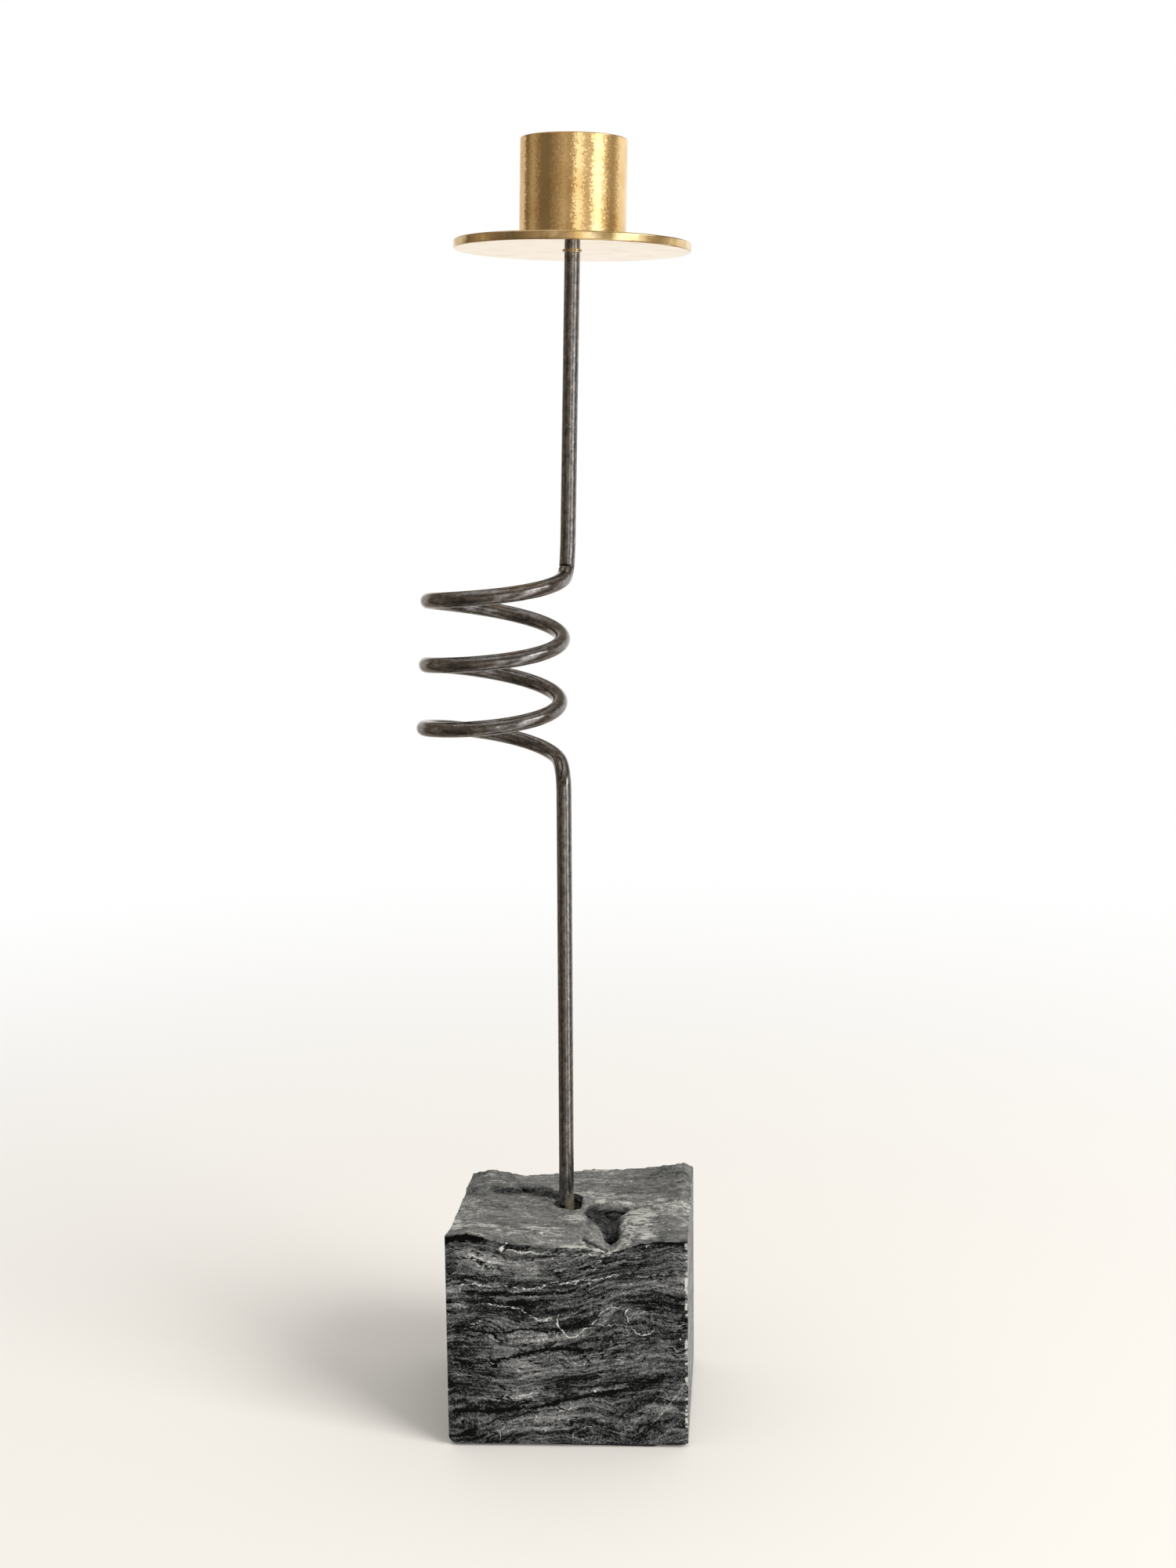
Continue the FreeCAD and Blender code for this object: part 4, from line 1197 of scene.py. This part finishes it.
# Painted shade on the top: the shadow in the hollow right up to its wall, and in the lee of the ledge at the
# left
POCKET_SHARE = 0.68
POCKET_WALL = (0.3, -0.3)
POCKET_LEFT = (-0.3, 0.3)
POCKET_LEDGE = (0.2, -0.4)
POCKET_FRONT = (-20, -18)
POCKET_WIDE = 6.0
POCKET_WIDENING = (-18, -1)
POCKET_WIDE_SHARES = (0.65, 1.35)
LEE_SHARE = 0.8
LEE = (-0.1, 0.1, 0.3, 0.9)
LEE_ACROSS = (-24, -14, -3, 0)

# Pale places on the top: a strip in front, crystals past the wall, the broken lip, and a band behind the
# ledge
FRONT_PALE_SHARE = 0.35
FRONT_PALE_BACK = (-22.5, -19.5, -17.5, -14.5)
FRONT_PALE_ACROSS = (4, -4)
CRYSTAL_SHARE = 0.5
CRYSTAL_PAST_WALL = (0.3, 1.5, 7, 11)
CRYSTAL_BACK = (-27, -24, -7, -2)
LIP_SHARE = 1.5
LIP_BACK = (1.5, 0.4)
LIP_ACROSS = (0, 5, 13, 17)
LIP_RAGGED = 0.6
LIP_RAGGED_SIZE = 1.1
BEHIND_SHARE = 0.25
BEHIND_LEDGE = (0, 0.5, 5, 12)
BEHIND_ACROSS = (-4, 4)

# Edges of the front: painted shade under the lip and in a crevice at the left, chipped white at the right
UNDER_LIP_SHARE = 0.5
UNDER_LIP = (1.0, 0.4)
UNDER_LIP_ACROSS = (9, 13)
CREVICE = (2.0, 1.4)
CREVICE_ACROSS = (-17, -20)
CREVICE_RAGGED = 2
EDGE_RAGGED_SIZE = 2.5
CORNER_WIDE = 0.5
CHIPS = ((6, 1.0, 2.0), (1.4, 0.7, 5.0))
CHIP_EDGE = (-0.2, 0.35)
CHIP_DEEP = 0.35
CHIP_SHARE = 3.2
KNOCK_REACH = 2.0
KNOCK_DEEP_SHARE = 0.4
KNOCK_FLAT = 1.3

# Rows of the noise that the waves are read from, so that no two are alike
WAVE_ROW = 4.0
FLOW_ROW = 1.3
GRIT_ROW = 2.0
LIP_ROWS = (3.0, 1.0)
EDGE_ROWS = (1.0, 0.0)
RIPPLE_NOISE = (1.0, 2.1, 3)

TOUCHING = 0.01
FAR_OFF = 99.0
ON_TOP_SHARE = 0.999
SOLID_TOP = BVHTree.FromObject(frame["nodes"]["stone_base"], bpy.context.evaluated_depsgraph_get())


def front_at(x):
    """Where the front face is. It is skewed against the back."""
    return BLOCK_LOW.y + BLOCK_SKEW * (x - BLOCK_LOW.x) / BLOCK_SPAN.x


def solid_height(x, y):
    """Height of the solid's top, read beside the hole where the hole is."""
    x = min(BLOCK_HIGH.x - INSET, max(BLOCK_LOW.x + INSET, x))
    y = min(BLOCK_HIGH.y - INSET, max(front_at(x) + INSET, y))
    away = Vector((x, y)) - HOLE_AT
    clear = HOLE_RADIUS + HOLE_CLEAR
    if away.length < clear:
        away = away.normalized() * clear if away.length > TOUCHING else Vector((clear, 0))
        x, y = HOLE_AT + away
    return SOLID_TOP.ray_cast(Vector((x, y, BLOCK_HIGH.z + 1)) * MM, -UP)[0].z / MM


def drawn_over(value, solid_line, line, reach, steep):
    """Where to read the solid so that its slope lies on another line and is steeper."""
    off = value - line
    fade = math.exp(-(off / reach) ** 2)
    pull = math.copysign(1 - math.exp(-abs(off) / PULL_SOFT), off) * steep
    return value + (solid_line - line + pull) * fade


def top_lines(x, y):
    """The ledge's line and the wall's line at a point, and the wave that both follow."""
    wave = noise.noise(Vector((x / WAVE_SIZE, y / WAVE_SIZE, WAVE_ROW)))
    return on_line(LEDGE, x) + LEDGE_WAVE * wave, on_line(WALL, y) + WALL_WAVE * wave, wave


def top_holes(x, y, wave):
    """Shares of the slit and of the small cave in the hollow."""
    slit = min(
        ((x - ax) * (by - ay) - (y - ay) * (bx - ax)) ** 2 / ((bx - ax) ** 2 + (by - ay) ** 2)
        if ax - SLIT_END <= x <= bx + SLIT_END else FAR_OFF
        for (ax, ay), (bx, by) in zip(SLIT, SLIT[1:]))
    away = Vector((x - CAVE.x, (y - CAVE.y) * CAVE_FLAT)).length + wave
    return soft_step(*SLIT_EDGE, math.sqrt(slit)), soft_step(*CAVE_EDGE, away / CAVE_SIZE)


def top_height(x, y):
    """Height of the split top: the solid's, sharpened at its lines and broken into thin layers."""
    ledge, wall, wave = top_lines(x, y)
    slit, cave = top_holes(x, y, wave)
    inner = patch(*MIDDLE, (y - front_at(x)) / (BLOCK_HIGH.y - front_at(x)))
    ledge_y = drawn_over(y, on_line(SOLID_LEDGE, x), ledge, *LEDGE_PULL)
    wall_x = drawn_over(x, SOLID_WALL, wall, *WALL_PULL)
    below = soft_step(*LEDGE_FOOT, y - ledge)
    height = solid_height(x + (wall_x - x) * below * inner, y + (ledge_y - y) * inner)
    step = soft_step(*LEDGE_STEP, y - ledge) - 0.5
    height += LEDGE_STEP_HIGH * inner * step * math.exp(-((y - ledge) / LEDGE_STEP_WIDE) ** 2)
    height -= SLIT_DEEP * slit + CAVE_DEEP * cave
    long, deep = FLOW_SIZE
    height += FLOW_HIGH * noise.noise(Vector((x / long, y / deep, FLOW_ROW))) * inner
    long, deep, thick = RIPPLE_SIZE
    ripple = noise.fractal(Vector((x / long, y / deep, height / thick)), *RIPPLE_NOISE)
    stepped = (height + RIPPLE_SHIFT * ripple) / LAYER_THICK
    share = stepped - math.floor(stepped)
    height += (soft_step(*LAYER_RISER, share) - share) * LAYER_THICK * LAYER_SHARP
    grit = noise.noise(Vector((x, y, GRIT_ROW)) / GRIT_SIZE)
    return height + RIPPLE_HIGH * ripple + GRIT_HIGH * grit


def top_shares(x, y):
    """How pale the split top is at a point, and its painted shade in the slit, the cave, the hollow and the
    ledge's lee.
    """
    ledge, wall, wave = top_lines(x, y)
    slit, cave = top_holes(x, y, wave)
    least, more = POCKET_WIDE_SHARES
    wide = POCKET_WIDE * (least + more * soft_step(*POCKET_WIDENING, y))
    pocket = soft_step(*POCKET_WALL, x - wall) * soft_step(*POCKET_LEDGE, y - ledge)
    pocket *= soft_step(*POCKET_LEFT, x - wall + wide) * soft_step(*POCKET_FRONT, y)
    lee = patch(*LEE, ledge - y) * patch(*LEE_ACROSS, x)
    front_pale = patch(*FRONT_PALE_BACK, y) * soft_step(*FRONT_PALE_ACROSS, x)
    crystal = patch(*CRYSTAL_PAST_WALL, x - wall) * patch(*CRYSTAL_BACK, y)
    jagged = LIP_RAGGED * noise.noise(Vector((x / LIP_RAGGED_SIZE, *LIP_ROWS)))
    lip = soft_step(*LIP_BACK, y - front_at(x) + jagged) * patch(*LIP_ACROSS, x)
    behind = patch(*BEHIND_LEDGE, y - ledge) * soft_step(*BEHIND_ACROSS, x)
    pale = max(FRONT_PALE_SHARE * front_pale, CRYSTAL_SHARE * crystal, LIP_SHARE * lip, BEHIND_SHARE * behind)
    return pale, max(slit, cave, POCKET_SHARE * pocket, LEE_SHARE * lee)


def under_edge(x, below):
    """Painted shade on the front at a depth below its upper edge: under the lip and in the crevice."""
    ragged = noise.noise(Vector((x / EDGE_RAGGED_SIZE, *EDGE_ROWS)))
    under_lip = soft_step(*UNDER_LIP, below - ragged) * soft_step(*UNDER_LIP_ACROSS, x)
    crevice = soft_step(*CREVICE, below - CREVICE_RAGGED * ragged) * soft_step(*CREVICE_ACROSS, x)
    return max(UNDER_LIP_SHARE * under_lip, crevice)


def make_block():
    """Sawn block, fine enough for the relief of its top and front."""
    middle = (BLOCK_LOW + BLOCK_HIGH) / 2
    stone = start("cube", size=1, location=middle * MM, scale=BLOCK_SPAN * MM)
    bpy.ops.object.mode_set(mode="EDIT")
    select(stone, "EDGE", lambda edge: all(v.co.x > 0 and v.co.y < 0 for v in edge.verts))
    bpy.ops.transform.translate(value=(0, BLOCK_SKEW * MM, 0))
    select(stone, "FACE", lambda face: face.normal.z > -FACING)
    bpy.ops.mesh.subdivide(number_cuts=BLOCK_CUTS)
    select(stone, "FACE", lambda face: face.normal.z > FACING or face.normal.y < -FACING)
    bpy.ops.mesh.subdivide(number_cuts=1)
    bpy.ops.object.mode_set(mode="OBJECT")
    return stone


def make_stone():
    """Block with sawn sides and a split top. Its edges are chipped, and its lower left corner is knocked."""
    stone = make_block()
    split, pale, painted_shade = [], [], []
    for vertex in stone.data.vertices:
        x, y, z = vertex.co / MM
        top = top_height(x, y)
        share = (z - BLOCK_LOW.z) / BLOCK_SPAN.z
        z = BLOCK_LOW.z + (top - BLOCK_LOW.z) * share
        on_top = share > ON_TOP_SHARE
        # shade is painted shade: recesses, the lee of edges and under the front's lip
        bright, shade = top_shares(x, y) if on_top else (0.0, 0.0)
        if y < front_at(x) + TOUCHING and not on_top:
            shade = under_edge(x, top - z)
            if x > BLOCK_HIGH.x - CORNER_WIDE:
                broken = sum(part * noise.noise(Vector((z / size, row, 0))) for size, part, row in CHIPS)
                chip = soft_step(*CHIP_EDGE, broken)
                bright = CHIP_SHARE * chip
                x -= CHIP_DEEP * chip
                y += CHIP_DEEP * chip
        knock = Vector((x - BLOCK_LOW.x, y - front_at(x), KNOCK_FLAT * (z - BLOCK_LOW.z))).length
        dent = KNOCK_DEEP_SHARE * max(0.0, KNOCK_REACH - knock)
        split.append(1.0 if on_top else 0.0)
        pale.append(bright)
        painted_shade.append(shade)
        vertex.co = Vector((x + dent, y + dent, z)) * MM
    keep(stone, "split", split)
    keep(stone, "pale", pale)
    keep(stone, "painted_shade", painted_shade)
    drill = start("cylinder", vertices=HOLE_SIDES, radius=HOLE_RADIUS * MM, depth=DRILL_LONG * MM,
                  location=Vector((*HOLE_AT, BLOCK_HIGH.z + DRILL_RISE)) * MM)
    only(stone)
    hole = stone.modifiers.new("hole", "BOOLEAN")
    hole.object = drill
    hole.solver = "EXACT"
    bpy.ops.object.modifier_apply(modifier=hole.name)
    bpy.data.objects.remove(drill)
    finish(stone, "stone_block", make_marble(), "stone_base")


make_stone()
